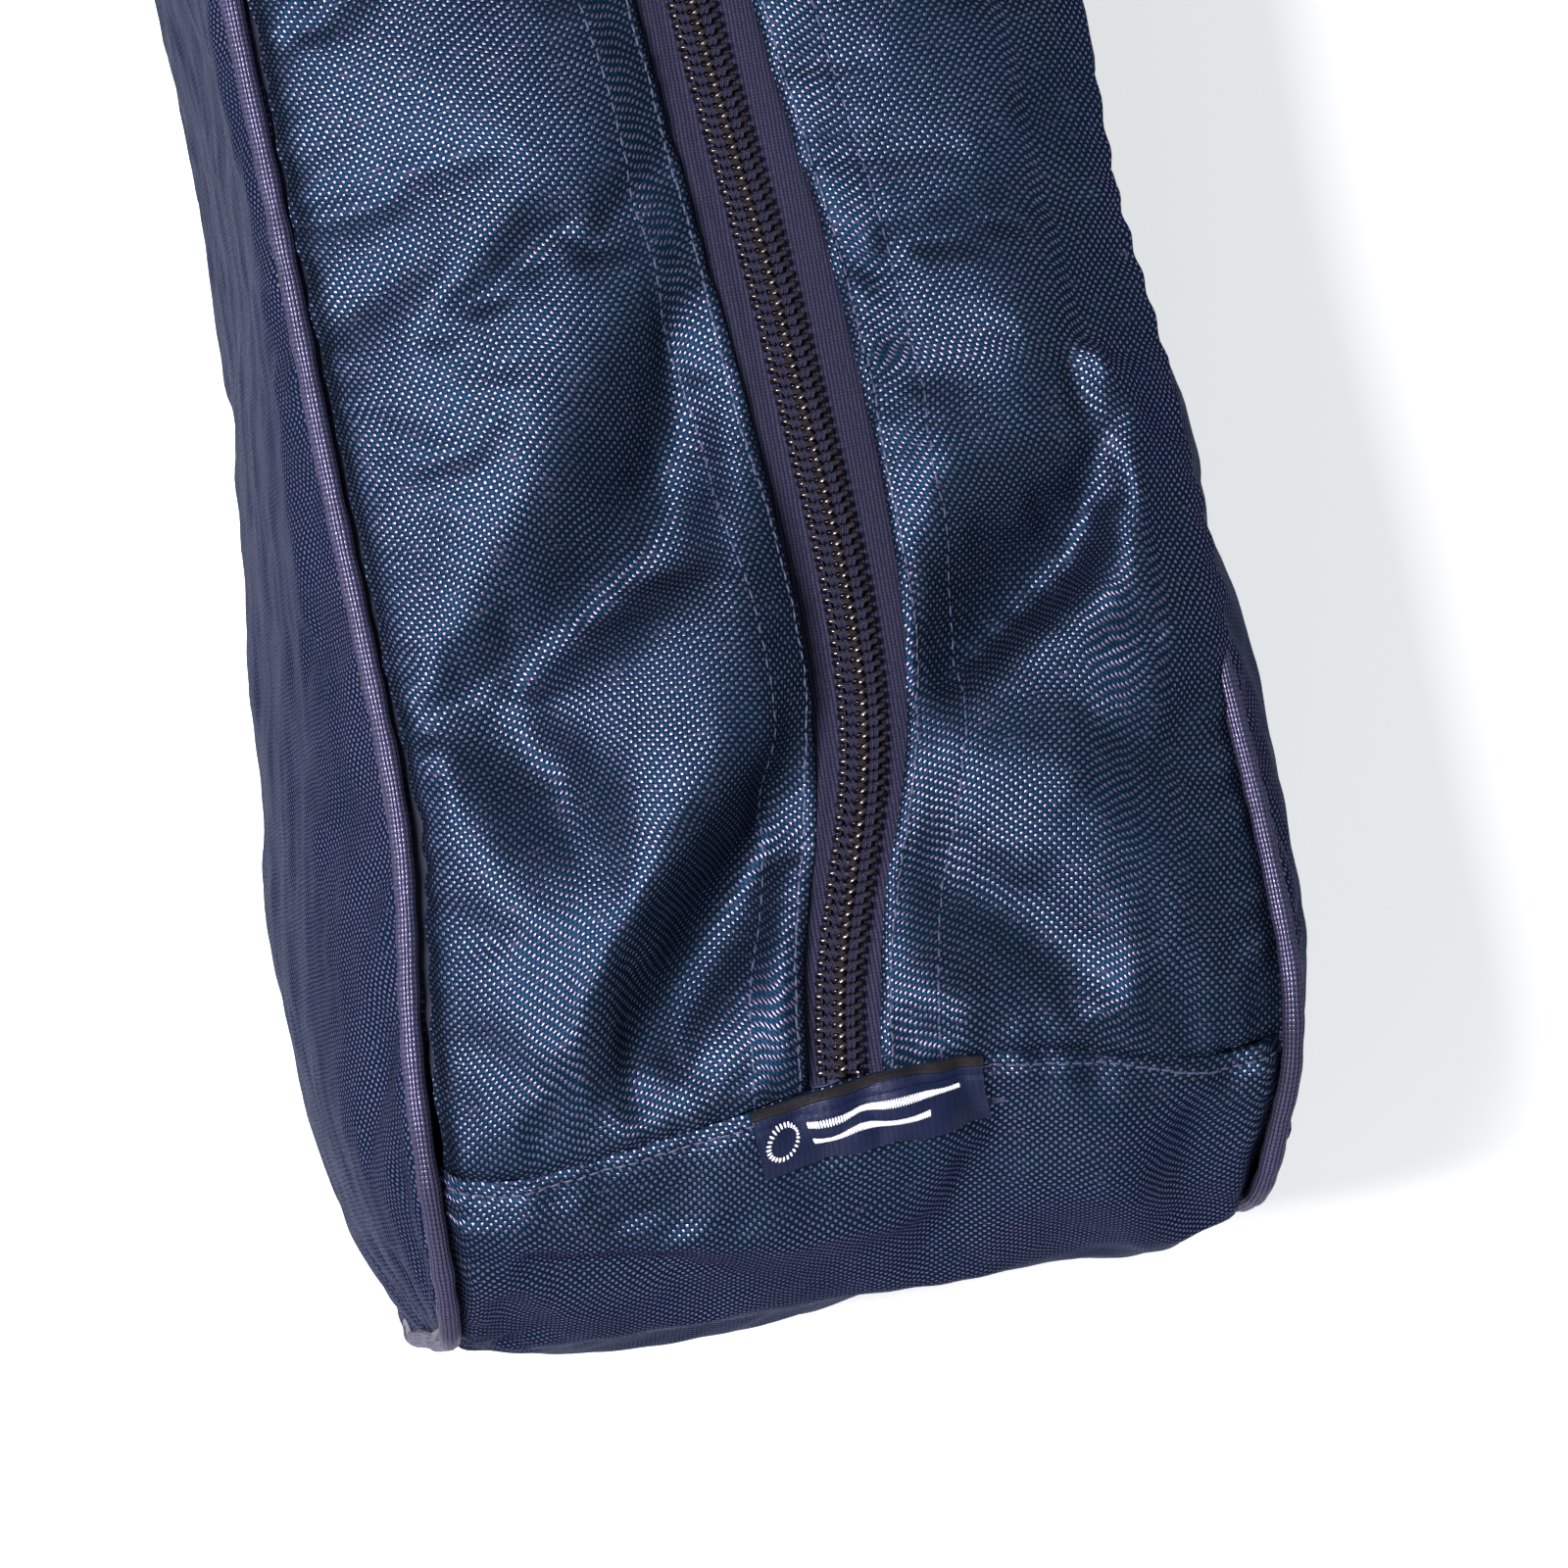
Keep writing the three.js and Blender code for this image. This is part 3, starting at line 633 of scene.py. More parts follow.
BOARD = lacquered("base_board_fibre", (0.025, 0.028, 0.034), (0.045, 0.048, 0.055), 0.7, 0.0)


# ---- Panels ----

CLOTH_FRAMES = 18
CLOTH_SCALE = 10.0         # the cloth is simulated this many times larger, where the solver is steadier
CLOTH_LIMIT = 4.0          # no point settles further than this, in mm


def drape(points, hold, swell, slack):
    """Lets a panel settle as cloth, sewn fast at its edges. hold is how firmly its inside keeps its
    place, swell presses it outwards, slack is how much more cloth there is than the frame needs."""
    nu, nv = points.shape[:2]
    mesh = bpy.data.meshes.new("settling")
    mesh.from_pydata((points.reshape(-1, 3) * MM * CLOTH_SCALE).tolist(), [], grid_faces(nu, nv).tolist())
    cloth = add_object("settling", mesh)
    weights = np.full((nu, nv), float(hold))
    weights[[0, -1], :] = 1
    weights[:, [0, -1]] = 1
    group = cloth.vertex_groups.new(name="hold")
    for index, weight in enumerate(weights.ravel()):
        group.add([index], float(weight), "REPLACE")
    modifier = cloth.modifiers.new("Cloth", "CLOTH")
    for key, value in {
        "quality": 6, "mass": 0.2, "tension_stiffness": 30, "compression_stiffness": 30,
        "shear_stiffness": 12, "bending_stiffness": 1.2, "air_damping": 6, "vertex_group_mass": "hold",
        "pin_stiffness": 3, "shrink_min": -slack, "use_pressure": True, "uniform_pressure_force": swell,
    }.items():
        setattr(modifier.settings, key, value)
    modifier.settings.effector_weights.gravity = 0
    modifier.collision_settings.use_collision = False
    modifier.point_cache.frame_end = CLOTH_FRAMES + 1
    for number in range(1, CLOTH_FRAMES + 1):
        scene.frame_set(number)
    settled = cloth.evaluated_get(bpy.context.evaluated_depsgraph_get())
    out = np.empty(nu * nv * 3, np.float32)
    settled.data.vertices.foreach_get("co", out)
    scene.frame_set(1)
    bpy.data.objects.remove(cloth)
    bpy.data.meshes.remove(mesh)
    move = out.reshape(nu, nv, 3).astype(float) / (MM * CLOTH_SCALE) - points
    length = np.linalg.norm(move, axis=2, keepdims=True)
    return points + move * np.minimum(1, CLOTH_LIMIT / np.maximum(length, 1e-6))


def weave_map(points):
    """Cloth places in mm: distance across and along the panel from its middle."""
    across, along = arc(points, 0), arc(points, 1)
    return np.stack([across - across[-1:] / 2, along - along[:, -1:] / 2], axis=2)


def puckers(along, distance, reach, spacing, seed):
    """Small gathers beside a seam."""
    beat = along / spacing + 0.6 * waver(along, spacing * 4, seed, 4)
    strength = 0.65 + 0.35 * waver(along, 60, seed + 1, 4)
    return bell(distance, reach) * np.sin(2 * math.pi * beat) * strength


# Top panels. Rows run from the piping to the zip, columns from the front seam to the rear one.

FOLD_STITCH = 2.0          # from the folded edge to its topstitch
TAPE_STITCH = 9.5          # and to the line that holds the zip tape


def top_panel(side):
    u, v = even_grid((0, 1), 16, (0, 1), 78)
    y = -138.5 + 277 * v
    drop = seam_drop(y, side)
    outer = side * (63.6 + 0.92 * drop) + bow(side * HALF_WIDTH, y)
    inner = zip_x(y) + side * fold_gap(y, side)
    x = outer + (inner - outer) * u
    front, rear = seam_y(x, -1), seam_y(x, 1)
    y = front + (rear - front) * v
    fade = smooth(0, 7, y - front) * smooth(0, 7, rear - y)
    folds = top_folds(x, y)
    z = top_height(x, y) + folds * (EDGE_SHARE + (1 - EDGE_SHARE) * fade)
    # The folds die out on the sewn zip edge, which keeps its own gentle wave.
    near_zip = 1 - smooth(0, 9, np.abs(x - inner))
    z -= near_zip * folds * 0.72
    z -= drop * (0.15 + 0.85 * bell(np.abs(x - outer), 2.2)) * bell(np.abs(x - outer), 9)
    # The rows are turned about on the right so that the cloth faces up on both sides.
    points = drape(np.stack([x, y, z], axis=2)[::-side], 0.02, 0.6, 0.012)
    points = refine(points, graded(58, 0.8, 0.8, 0.05), graded(301, 1.2, 1.2, 0.01))[::-side]
    normal = -side * grid_normals(points)
    down_piping, along = arc(points, 0), arc(points, 1)
    to_zip = down_piping[-1:] - down_piping
    to_front, to_rear = along, along[:, -1:] - along
    x, y = points[..., 0], points[..., 1]
    relief = (
        -2.3 * bell(down_piping, 2.6) * (1 - 0.28 * seam_drop(y, side))
        + 0.45 * puckers(y, down_piping, 5.5, 7.5, 11 + side)
        + 0.28 * puckers(x, np.minimum(to_front, to_rear), 6, 8.5, 21 + side)
        - 0.9 * bell(to_front, 1.3) - 0.9 * bell(to_rear, 1.3)
        - 0.28 * bell(to_zip - FOLD_STITCH, 0.55)
        - 1.0 * bell(to_zip, 0.6)
        - 0.16 * bell(to_zip - TAPE_STITCH, 0.7)
        + 0.12 * puckers(y, to_zip - FOLD_STITCH, 3.5, 5.2, 31 + side)
        + 0.10 * puckers(y, to_zip - TAPE_STITCH, 3.5, 6.1, 37 + side)
        + 0.16 * ripple(x, y, 26, 41 + side) + 0.03 * ripple(x, y, 9, 45 + side)
    )
    # Near the front the folded edge rides up a little, more so on the right.
    lift = 0.6 if side < 0 else 1.3
    relief = relief + lift * bell(to_zip, 5) * smooth(-118, -80, y) * (1 - smooth(-30, 0, y))
    points = points + normal * relief[..., None]
    thickness = WALL + 0.4 * bell(to_zip, 6)
    return tuple(grid[::-side] for grid in (points, thickness, weave_map(points)))


def halves(columns):
    """Column ranges of the front half and the rear half, which share the middle column."""
    middle = columns // 2
    return ("front", slice(0, middle + 1)), ("rear", slice(middle, columns))


def settle(nodes):
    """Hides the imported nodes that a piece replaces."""
    if nodes:
        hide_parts(*nodes)


def fixed(obj, body, slot, *nodes):
    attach(obj, body)
    settle(nodes)


def flap_piece(obj, side, part, slot, *nodes):
    """Bakes a flap piece's placement into its mesh and hides the imported nodes that it replaces."""
    start = FLAP_FRONT_Y if part == "front" else FLAP_REAR_Y
    places = row([(0, start, PIPING_TOP), (0, 0.0, PIPING_TOP)])
    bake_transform(obj)
    settle(nodes)


tops = {}
for side, word in SIDES.items():
    points, thickness, uv = top_panel(side)
    tops[side] = points
    for part, columns in halves(points.shape[1]):
        obj = shell(f"top_{word}_{part}", points[:, columns], thickness[:, columns], uv[:, columns],
                    (FABRIC, LINING))
        flap_piece(obj, side, part, "shell_fabric", f"top_panel_{word}")


# Side panels.

def side_swell(y):
    """How far a side stands out: the front half hangs fuller than the middle."""
    return through(
        [(-165, 9), (-120, 12), (-85, 9.5), (-50, 6), (-10, 0.8), (30, -1.5), (80, 2), (165, 6)], y
    )


def side_panel(side):
    rows, columns = 40, 74
    inset = 0.4
    length = HALF_LENGTH - inset
    t = np.linspace(-1, 1, columns)
    station = np.sign(t) * (1 - (1 - np.abs(t)) ** 1.35) * length
    over_top = np.clip(np.abs(station) - CORNER_Y, 0, None)
    over_base = np.clip(np.abs(station) - BASE_CORNER_Y, 0, None)
    high = CORNER_Z + np.sqrt(np.clip((TOP_CORNER - inset) ** 2 - over_top**2, 0, None))
    low = BASE_CORNER_Z - np.sqrt(np.clip((BASE_CORNER - inset) ** 2 - over_base**2, 0, None))
    v = np.linspace(-1, 1, rows)[:, None]
    y = station[None, :] + 0 * v
    z = (low + high) / 2 + v * (high - low) / 2
    lengthwise = 1 - np.abs(y / length) ** 5
    bulge = side_swell(y) * lengthwise * (1 - np.abs(v) ** 2.6) * (1 - 0.16 * v)
    folds = strokes(y, z, (
        ([(-120, 150), (-96, 110), (-90, 60), (-104, 24)], 2.6, 12, 18),
        ([(-62, 168), (-50, 120), (-56, 70)], -3.0, 14, 10),
        ([(-30, 160), (-10, 110), (-18, 50), (-30, 14)], 2.4, 14, 20),
        ([(30, 172), (34, 130), (60, 96)], -2.6, 12, 9),
        ([(70, 168), (92, 120), (118, 84)], 2.4, 12, 16),
        ([(-140, 40), (-118, 60), (-80, 66)], -1.8, 10),
        ([(60, 14), (80, 44), (120, 52)], -2.2, 12),
    ))
    if side > 0:
        folds = folds[:, ::-1] * 0.9
    stand = HALF_WIDTH + 0.3 + bulge + 0.3 * folds * lengthwise * (1 - np.abs(v) ** 4)
    x = side * stand + bow(side * HALF_WIDTH, y, z)
    z = z - seam_drop(y, side) * ((v + 1) / 2) ** 5
    points = drape(np.stack([x, y, z], axis=2)[::-side], 0.015, 0.9, 0.014)[::-side]
    points = refine(points, graded(120, 1.0, 1.0, 0.03), np.linspace(0, 1, 232))[::-side]
    normal = grid_normals(points)
    if (normal[60, 110, 0] > 0) != (side > 0):
        normal = -normal
    across, along = arc(points, 0), arc(points, 1)
    to_edge = np.minimum(across, across[-1:] - across)
    to_end = np.minimum(along, along[:, -1:] - along)
    edge = np.minimum(to_edge, to_end)
    y, z = points[..., 1], points[..., 2]
    relief = (
        (0.5 * puckers(y + 0.35 * z, to_edge, 7, 8.5, 51 + side)
         + 0.4 * puckers(z, to_end, 7, 8.0, 57 + side)) * smooth(0, 3, edge)
        - 0.9 * bell(edge, 1.6)
        + 0.35 * ripple(y, z, 34, 61 + side) + 0.13 * ripple(y, z, 11, 65 + side)
    )
    points = points + normal * relief[..., None]
    return points[::-1] if (grid_normals(points)[60, 110, 0] > 0) != (side > 0) else points


for side, word in SIDES.items():
    points = side_panel(side)
    uv = points[..., [2, 1]]
    obj = shell(f"side_{word}", points, WALL, uv, (FABRIC, LINING))
    fixed(obj, "root", "shell_fabric", f"side_panel_{word}")


# End panels. Rows run across, columns from the cross seam over the corner down to the base.

def end_panel(end):
    rows, columns = 30, 54
    x, t = even_grid((-64.4, 64.4), rows, (0, 1), columns)
    stand = crown(x)
    radius = TOP_CORNER + stand
    start = np.arcsin((np.abs(seam_y(x, end)) - CORNER_Y) / radius)
    # Lengths of the three parts of the way down: corner, straight, base corner.
    top_arc = (math.pi / 2 - start) * radius
    straight = CORNER_Z - BASE_CORNER_Z
    base_arc = math.pi / 2 * (BASE_CORNER + PIPING_BOTTOM / 2)
    whole = top_arc + straight + base_arc
    s = t * whole
    angle_top = start + np.clip(s / radius, 0, math.pi / 2 - start)
    angle_base = np.clip((s - top_arc - straight) / base_arc, 0, 1) * math.pi / 2
    part = [s < top_arc, s > top_arc + straight]
    base_radius = BASE_CORNER + stand + (PIPING_BOTTOM - stand) * smooth(0, math.pi / 2, angle_base)
    y = np.select(
        part, [CORNER_Y + radius * np.sin(angle_top), BASE_CORNER_Y + base_radius * np.cos(angle_base)],
        CORNER_Y + radius,
    )
    z = np.select(
        part, [CORNER_Z + radius * np.cos(angle_top), BASE_CORNER_Z - base_radius * np.sin(angle_base)],
        CORNER_Z - (s - top_arc),
    )
    fullness = 1.5 * smooth(0, 9, s) * smooth(0, 30, t[:, -1:] * whole - s)
    w = -end * x
    folds = fullness * strokes(w, s, (
        ([(-58, 6), (-47, 12), (-38, 18), (-20, 25), (10, 34)], 2.2, 7, 4.5),
        ([(-55, 18), (-38, 24), (-20, 34)], -2.4, 5, 8),
        ([(16, 6), (20, 18), (12, 44)], -1.5, 6),
        ([(30, 5), (38, 16), (36, 34)], 1.3, 6, 9),
        ([(56, 8), (50, 20), (52, 36)], -1.2, 6),
        ([(40, 18), (50, 44), (44, 80)], 1.8, 9, 12),
        ([(-50, 80), (-20, 104), (6, 140)], 2.2, 14, 9),
        ([(46, 96), (26, 128), (30, 164)], -2.2, 12),
    )) + 0.9 * smooth(2, 10, s) * stroke(w, s, [(10, 6), (13, 16), (9, 26)], 1.0, 4)
    if end < 0:
        # The front end has sunk in: below its seam it gives up its crown.
        y = y - 0.95 * stand * smooth(4, 42, s)
    points = np.stack([x + bow(x, end * y, z), end * y, z], axis=2)
    if (grid_normals(points)[rows // 2, columns // 2, 1] > 0) != (end > 0):
        points, folds = points[::-1], folds[::-1]
    points = points + grid_normals(points) * folds[..., None]
    points = drape(points, 0.02, 0.45, 0.014)
    points = refine(points, graded(100, 1.0, 1.0, 0.03), graded(190, 3.0, 0.5, 0.02))
    across, along = arc(points, 0), arc(points, 1)
    to_piping = np.minimum(across, across[-1:] - across)
    x = points[..., 0]
    relief = (
        -1.9 * bell(to_piping, 2.2)
        + 0.5 * puckers(along, to_piping, 6, 7.5, 71 + end) * smooth(0, 3, to_piping)
        + 0.42 * puckers(x, along - 1.5, 7, 9.0, 75 + end)
        - 0.9 * bell(along, 1.2)
        - 0.3 * bell(along - 2.6, 0.6)
        + 0.3 * ripple(x, along, 28, 79 + end) + 0.11 * ripple(x, along, 9, 83 + end)
    )
    points = points + grid_normals(points) * relief[..., None]
    points[..., 2] = np.maximum(points[..., 2], 0.15)
    return points


ends = {}
for end, word in ENDS.items():
    points = end_panel(end)
    ends[end] = points
    obj = shell(f"end_{word}", points, WALL, weave_map(points), (FABRIC, LINING))
    fixed(obj, "root", "shell_fabric", f"{word}_end_panel")


# Base: the bag stands on it, so only its edges lift a little towards the piping.

def base_panel():
    x, y = even_grid((-63.4, 63.4), 64, (-137.5, 137.5), 150)
    edge = HALF_WIDTH - 1.6 - np.abs(x)
    z = 0.25 + 1.5 * bell(edge, 3.5) + 0.16 * (1 + ripple(x, y, 30, 91)) * smooth(0, 12, edge)
    points = np.stack([x, y, np.maximum(z, 0.1)], axis=2)
    return points[::-1]


points = base_panel()
obj = shell("base", points, WALL, weave_map(points), (FABRIC, LINING))
fixed(obj, "root", "shell_fabric", "base_panel")


# ---- Piping ----

def outline(step=1.5):
    """Places (y, z) round the outline and the outward direction at each."""
    places, outs = [], []
    corners = (
        (CORNER_Y, CORNER_Z, TOP_CORNER, 0), (BASE_CORNER_Y, BASE_CORNER_Z, BASE_CORNER, 90),
        (-BASE_CORNER_Y, BASE_CORNER_Z, BASE_CORNER, 180), (-CORNER_Y, CORNER_Z, TOP_CORNER, 270),
    )
    for y, z, radius, start in corners:
        for degrees in np.linspace(start, start + 90, int(radius * math.pi / 2 / step) + 1):
            turn = math.radians(degrees)
            out = np.array([0, math.sin(turn), math.cos(turn)])
            places.append(np.array([0, y, z]) + out * radius)
            outs.append(out)
    full, full_outs = [], []
    for i, place in enumerate(places):
        after = places[(i + 1) % len(places)]
        count = max(1, int(np.linalg.norm(after - place) / step))
        for k in range(count):
            full.append(place + (after - place) * k / count)
            full_outs.append(outs[i])
    return np.array(full), np.array(full_outs)


def piping(side):
    centre, out = outline()
    y, z = centre[:, 1].copy(), centre[:, 2].copy()
    along = way_along(centre)
    # Under the slumped edge of the top panel it lies pressed flat.
    upper = smooth(150, 178, z)
    hidden = seam_drop(y, side) / 3.4 * upper
    wander = 0.35 * waver(along, 70, 101 + side, 5) * (1 - hidden)
    centre[:, 0] = side * (HALF_WIDTH - 0.9 * hidden) + bow(side * HALF_WIDTH, y, z) + wander
    centre = centre + out * (0.25 * waver(along, 38, 105 + side, 5))[:, None]
    centre[:, 2] -= seam_drop(y, side) * upper
    scale = 1 + 0.05 * waver(along, 7, 109 + side, 6) - 0.2 * hidden
    obj = sweep(f"piping_{SIDES[side]}_cord", centre, sideways(centre), out, circle(PIPING_RADIUS, 14),
                (PIPING,), closed=True, scale=scale)
    fixed(obj, "root", "piping", f"piping_{SIDES[side]}")


for side in SIDES:
    piping(side)


# ---- Stitches ----

CAPSULE_SIDES = 6
# Where along a thread its rings lie, as shares of its length, and how wide each is.
CAPSULE_RINGS = ((-0.5, 0.3), (-0.36, 0.85), (0, 1.0), (0.36, 0.85), (0.5, 0.3))


def capsules(name, centres, along, up, length, radius, material, flatten=0.7):
    """One short thread for each centre, lying along its direction."""
    sides, last = CAPSULE_SIDES, len(CAPSULE_RINGS) - 1
    turn = np.arange(sides) * 2 * math.pi / sides
    across = np.cross(up, along)
    rings = []
    for t, r in CAPSULE_RINGS:
        sag = -0.25 * radius * (abs(t) / 0.5) ** 2
        rings.append(
            centres[:, None] + along[:, None] * (t * np.reshape(length, (-1, 1, 1)))
            + across[:, None] * (np.cos(turn) * r * radius)[None, :, None]
            + up[:, None] * (np.sin(turn) * r * radius * flatten + sag)[None, :, None]
        )
    places = np.stack(rings, axis=1)
    faces = []
    for start in range(0, places.size // 3, len(CAPSULE_RINGS) * sides):
        for a in range(last):
            for k in range(sides):
                i, j = start + a * sides + k, start + a * sides + (k + 1) % sides
                faces.append((i, j, j + sides, i + sides))
        faces.append(tuple(start + k for k in range(sides - 1, -1, -1)))
        faces.append(tuple(start + last * sides + k for k in range(sides)))
    uv = np.zeros(places.shape[:3] + (2,))
    uv[..., 0] = np.array([t * np.mean(length) for t, _ in CAPSULE_RINGS])[None, :, None]
    uv[..., 1] = np.arange(sides) * radius
    obj = make_mesh(name, places.reshape(-1, 3), faces, uv.reshape(-1, 2), (material,))
    outward(obj)
    return obj


def level(way, values, distance):
    """A grid's values where the way along its columns has reached a distance."""
    return np.array([
        [np.interp(distance, way[:, j], values[:, j, k]) for k in range(3)] for j in range(values.shape[1])
    ])


def line_at(points, distance, axis, from_end):
    """The line on a grid at a distance from one of its edges, with the surface normals there."""
    grid, normal = (
        layer if axis == 0 else np.swapaxes(layer, 0, 1) for layer in (points, grid_normals(points))
    )
    if from_end:
        grid, normal = grid[::-1], normal[::-1]
    way = arc(grid, 0)
    return level(way, grid, distance), unit(level(way, normal, distance))


def stitch_line(name, line, up, pitch, share, radius, material, sink=0.0, seed=0):
    """Even stitches along a line; share is how much of the pitch each shows."""
    way = way_along(line)
    places = np.arange(pitch / 2, way[-1], pitch)

    def pick(values, at):
        return np.stack([np.interp(at, way, values[:, k]) for k in range(3)], axis=1)

    normals = unit(pick(up, places))
    ahead = pick(line, np.minimum(places + 0.6, way[-1])) - pick(line, np.maximum(places - 0.6, 0))
    ahead = unit(ahead - normals * np.sum(ahead * normals, axis=1, keepdims=True))
    across = np.cross(normals, ahead)
    draw = np.random.default_rng(seed)
    ahead = unit(ahead + across * draw.normal(0, 0.07, (len(places), 1)))
    aside = across * draw.normal(0, 0.06, (len(places), 1))
    centres = pick(line, places) + aside + normals * (radius * 0.35 - sink)
    return capsules(name, centres, ahead, normals, pitch * share, radius, material)


for side, word in SIDES.items():
    for part, columns in halves(tops[side].shape[1]):
        for name, distance, pitch, share, radius, material, sink, seed in (
            ("fold", FOLD_STITCH, 2.1, 0.74, 0.19, THREAD, 0.0, 3),
            ("tape", TAPE_STITCH, 2.7, 0.62, 0.17, THREAD_DARK, 0.02, 5),
        ):
            line, up = line_at(tops[side][:, columns], distance, 0, from_end=side < 0)
            obj = stitch_line(f"{name}_stitch_{word}_{part}", line, up, pitch, share, radius, material,
                              sink=sink, seed=side + seed)
            flap_piece(obj, side, part, "shell_fabric")

for end, word in ENDS.items():
    line, up = line_at(ends[end], 2.4, 1, from_end=False)
    obj = stitch_line(f"cross_stitch_{word}", line[2:-2], up[2:-2], 2.1, 0.8, 0.21, THREAD, seed=end + 9)
    fixed(obj, "root", "shell_fabric")


# ---- Zip ----

COIL_PITCH = 1.65
TURN_STEPS = 14            # points on one turn of the coil
WIRE = 0.42
TAPE_EDGE = 13.0


def coil_height(y):
    return top_height(zip_x(y) * 0, y) - 1.9


def coil_spread(y):
    """Behind the slider the two coils stand apart."""
    return 2.0 * smooth(SLIDER_Y - 6, SLIDER_Y + 3, y)


def coil(side, y0, y1):
    """Centreline of one coil, its two cross directions and its thickness along the way."""
    first, last = math.ceil(y0 / COIL_PITCH * TURN_STEPS), math.floor(y1 / COIL_PITCH * TURN_STEPS)
    t = np.arange(first, last + 1) / TURN_STEPS
    phase = 2 * math.pi * (t + (0.5 if side > 0 else 0.0))
    y = COIL_PITCH * t
    c, s = np.cos(phase), np.sin(phase)
    x_out = 1.55 + 1.9 * -np.sign(c) * np.abs(c) ** 0.75
    z_out = 0.92 * np.sign(s) * np.abs(s) ** 0.8
    # The strand dips where the sewing thread holds it down.
    z_out = z_out - 0.55 * bell(x_out - 1.65, 0.75) * (s > 0)
    lean = 0.28 * COIL_PITCH * np.where(s > 0, 1, -0.2) * (x_out / 3.7)
    x = zip_x(y) + side * (x_out + coil_spread(y))
    centre = np.stack([x, y + lean, coil_height(y) + z_out], axis=1)
    ahead = unit(np.gradient(centre, axis=0))
    up = np.stack([side * -c, 0 * c, s], axis=1)
    up = unit(up - ahead * np.sum(ahead * up, axis=1, keepdims=True), 1e-6)
    # Thick at the head that hooks into the other coil, thin under the sewing thread.
    head = bell(x_out + 0.35, 0.7)
    scale = 1 + 0.28 * head + 0.2 * bell(x_out - 3.1, 0.6) * (s > -0.2) - 0.12 * bell(x_out - 1.7, 0.8)
    return centre, np.cross(ahead, up), up, scale


def tape_strip(side, y0, y1, part):
    share, y = even_grid((0, 1), 22, (y0, y1), int((y1 - y0) / 1.5))
    off = TAPE_EDGE + (2.5 + coil_spread(y) - TAPE_EDGE) * share
    x = zip_x(y) + side * off
    sag = 0.35 * bell(off - 4.6, 1.2) + 0.5 * smooth(6, 12, off)
    z = coil_height(y) - 0.55 - sag + 0.10 * ripple(x, y, 11, 131 + side)
    z = z + 0.18 * puckers(y, off - 4, 3, 6.5, 135 + side)
    # Under the folded edge it stays below the panel and its folds.
    covered = smooth(0, 2, off - fold_gap(y, side))
    z = np.minimum(z, top_height(x, y) + np.minimum(top_folds(x, y), 0) * covered - 2.4 - 0.8 * covered)
    points = np.stack([x, y, z], axis=2)
    if side > 0:
        points = points[::-1]
    if grid_normals(points)[5, 5, 2] < 0:
        points = points[::-1]
    return shell(f"zip_tape_{SIDES[side]}_{part}_knit", points, 0.5, points[..., [1, 0]], (TAPE,))


def zip_half(side, part, y0, y1):
    """Half the length of one side of the zip: tape, coil and the thread that sews them together."""
    word = SIDES[side]

    def packed(piece):
        return [f"zip_{piece}_{word}_{part}_end"] + ([f"zip_{piece}_{word}"] if part == "front" else [])

    flap_piece(tape_strip(side, y0, y1, part), side, part, "zip_tape", *packed("tape"))
    centre, across, up, scale = coil(side, y0 + 0.4 * (part == "front"), y1)
    obj = sweep(f"zip_coil_{word}_{part}_loops", centre, across, up, circle(WIRE, 7), (NYLON,), scale=scale)
    flap_piece(obj, side, part, "zip_coil", *packed("coil"))
    # Sewing thread across the coil, one bead between each pair of loops.
    turns = np.arange(math.ceil(y0 / COIL_PITCH), math.floor(y1 / COIL_PITCH))
    y = turns * COIL_PITCH + COIL_PITCH * (0.25 if side < 0 else 0.75)
    ahead = np.repeat(np.array([[side * 0.25, 1.0, 0]]) / math.hypot(0.25, 1), len(y), axis=0)
    above = np.repeat(np.array([[0, 0, 1.0]]), len(y), axis=0)
    for name, off in (("inner", 1.3), ("outer", 2.05)):
        centres = np.stack([zip_x(y) + side * (off + coil_spread(y)), y, coil_height(y) + 0.8], axis=1)
        obj = capsules(f"zip_thread_{word}_{part}_{name}", centres, ahead, above, 1.6, 0.40, TAPE, 0.9)
        flap_piece(obj, side, part, "zip_tape")


ZIP_FRONT, ZIP_REAR = -136.0, 137.4
for side in SIDES:
    zip_half(side, "front", ZIP_FRONT, 0.0)
    zip_half(side, "rear", 0.0, ZIP_REAR)


# ---- Slider and pull tab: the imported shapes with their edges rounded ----

def rounded_copy(node, name, width, body):
    """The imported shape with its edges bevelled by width."""
    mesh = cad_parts[node].data.copy()
    mesh.materials.clear()
    mesh.materials.append(METAL)
    obj = add_object(name, mesh)
    work = bmesh.new()
    work.from_mesh(mesh)
    bmesh.ops.remove_doubles(work, verts=work.verts, dist=1e-6)
    bmesh.ops.dissolve_limit(work, angle_limit=math.radians(2), verts=work.verts, edges=work.edges)
    work.to_mesh(mesh)
    work.free()
    bevel = obj.modifiers.new("Bevel", "BEVEL")
    bevel.width = width * MM
    bevel.segments = 3
    bevel.limit_method = "ANGLE"
    bevel.angle_limit = math.radians(35)
    bevel.use_clamp_overlap = True
    ready = bpy.data.meshes.new_from_object(obj.evaluated_get(bpy.context.evaluated_depsgraph_get()))
    obj.modifiers.clear()
    obj.data = ready
    ready.name = name
    ready.polygons.foreach_set("use_smooth", [True] * len(ready.polygons))
    ready.set_sharp_from_angle(angle=math.radians(40))
    fixed(obj, body, "slider_metal", node)


rounded_copy("zip_slider_body", "slider_body_cast", 0.35, "zip_slider")
rounded_copy("zip_slider_bridge", "slider_bridge_cast", 0.4, "zip_slider")
rounded_copy("zip_pull_tab", "pull_tab_cast", 0.35, "pull_tab")


# ---- Carry loop ----

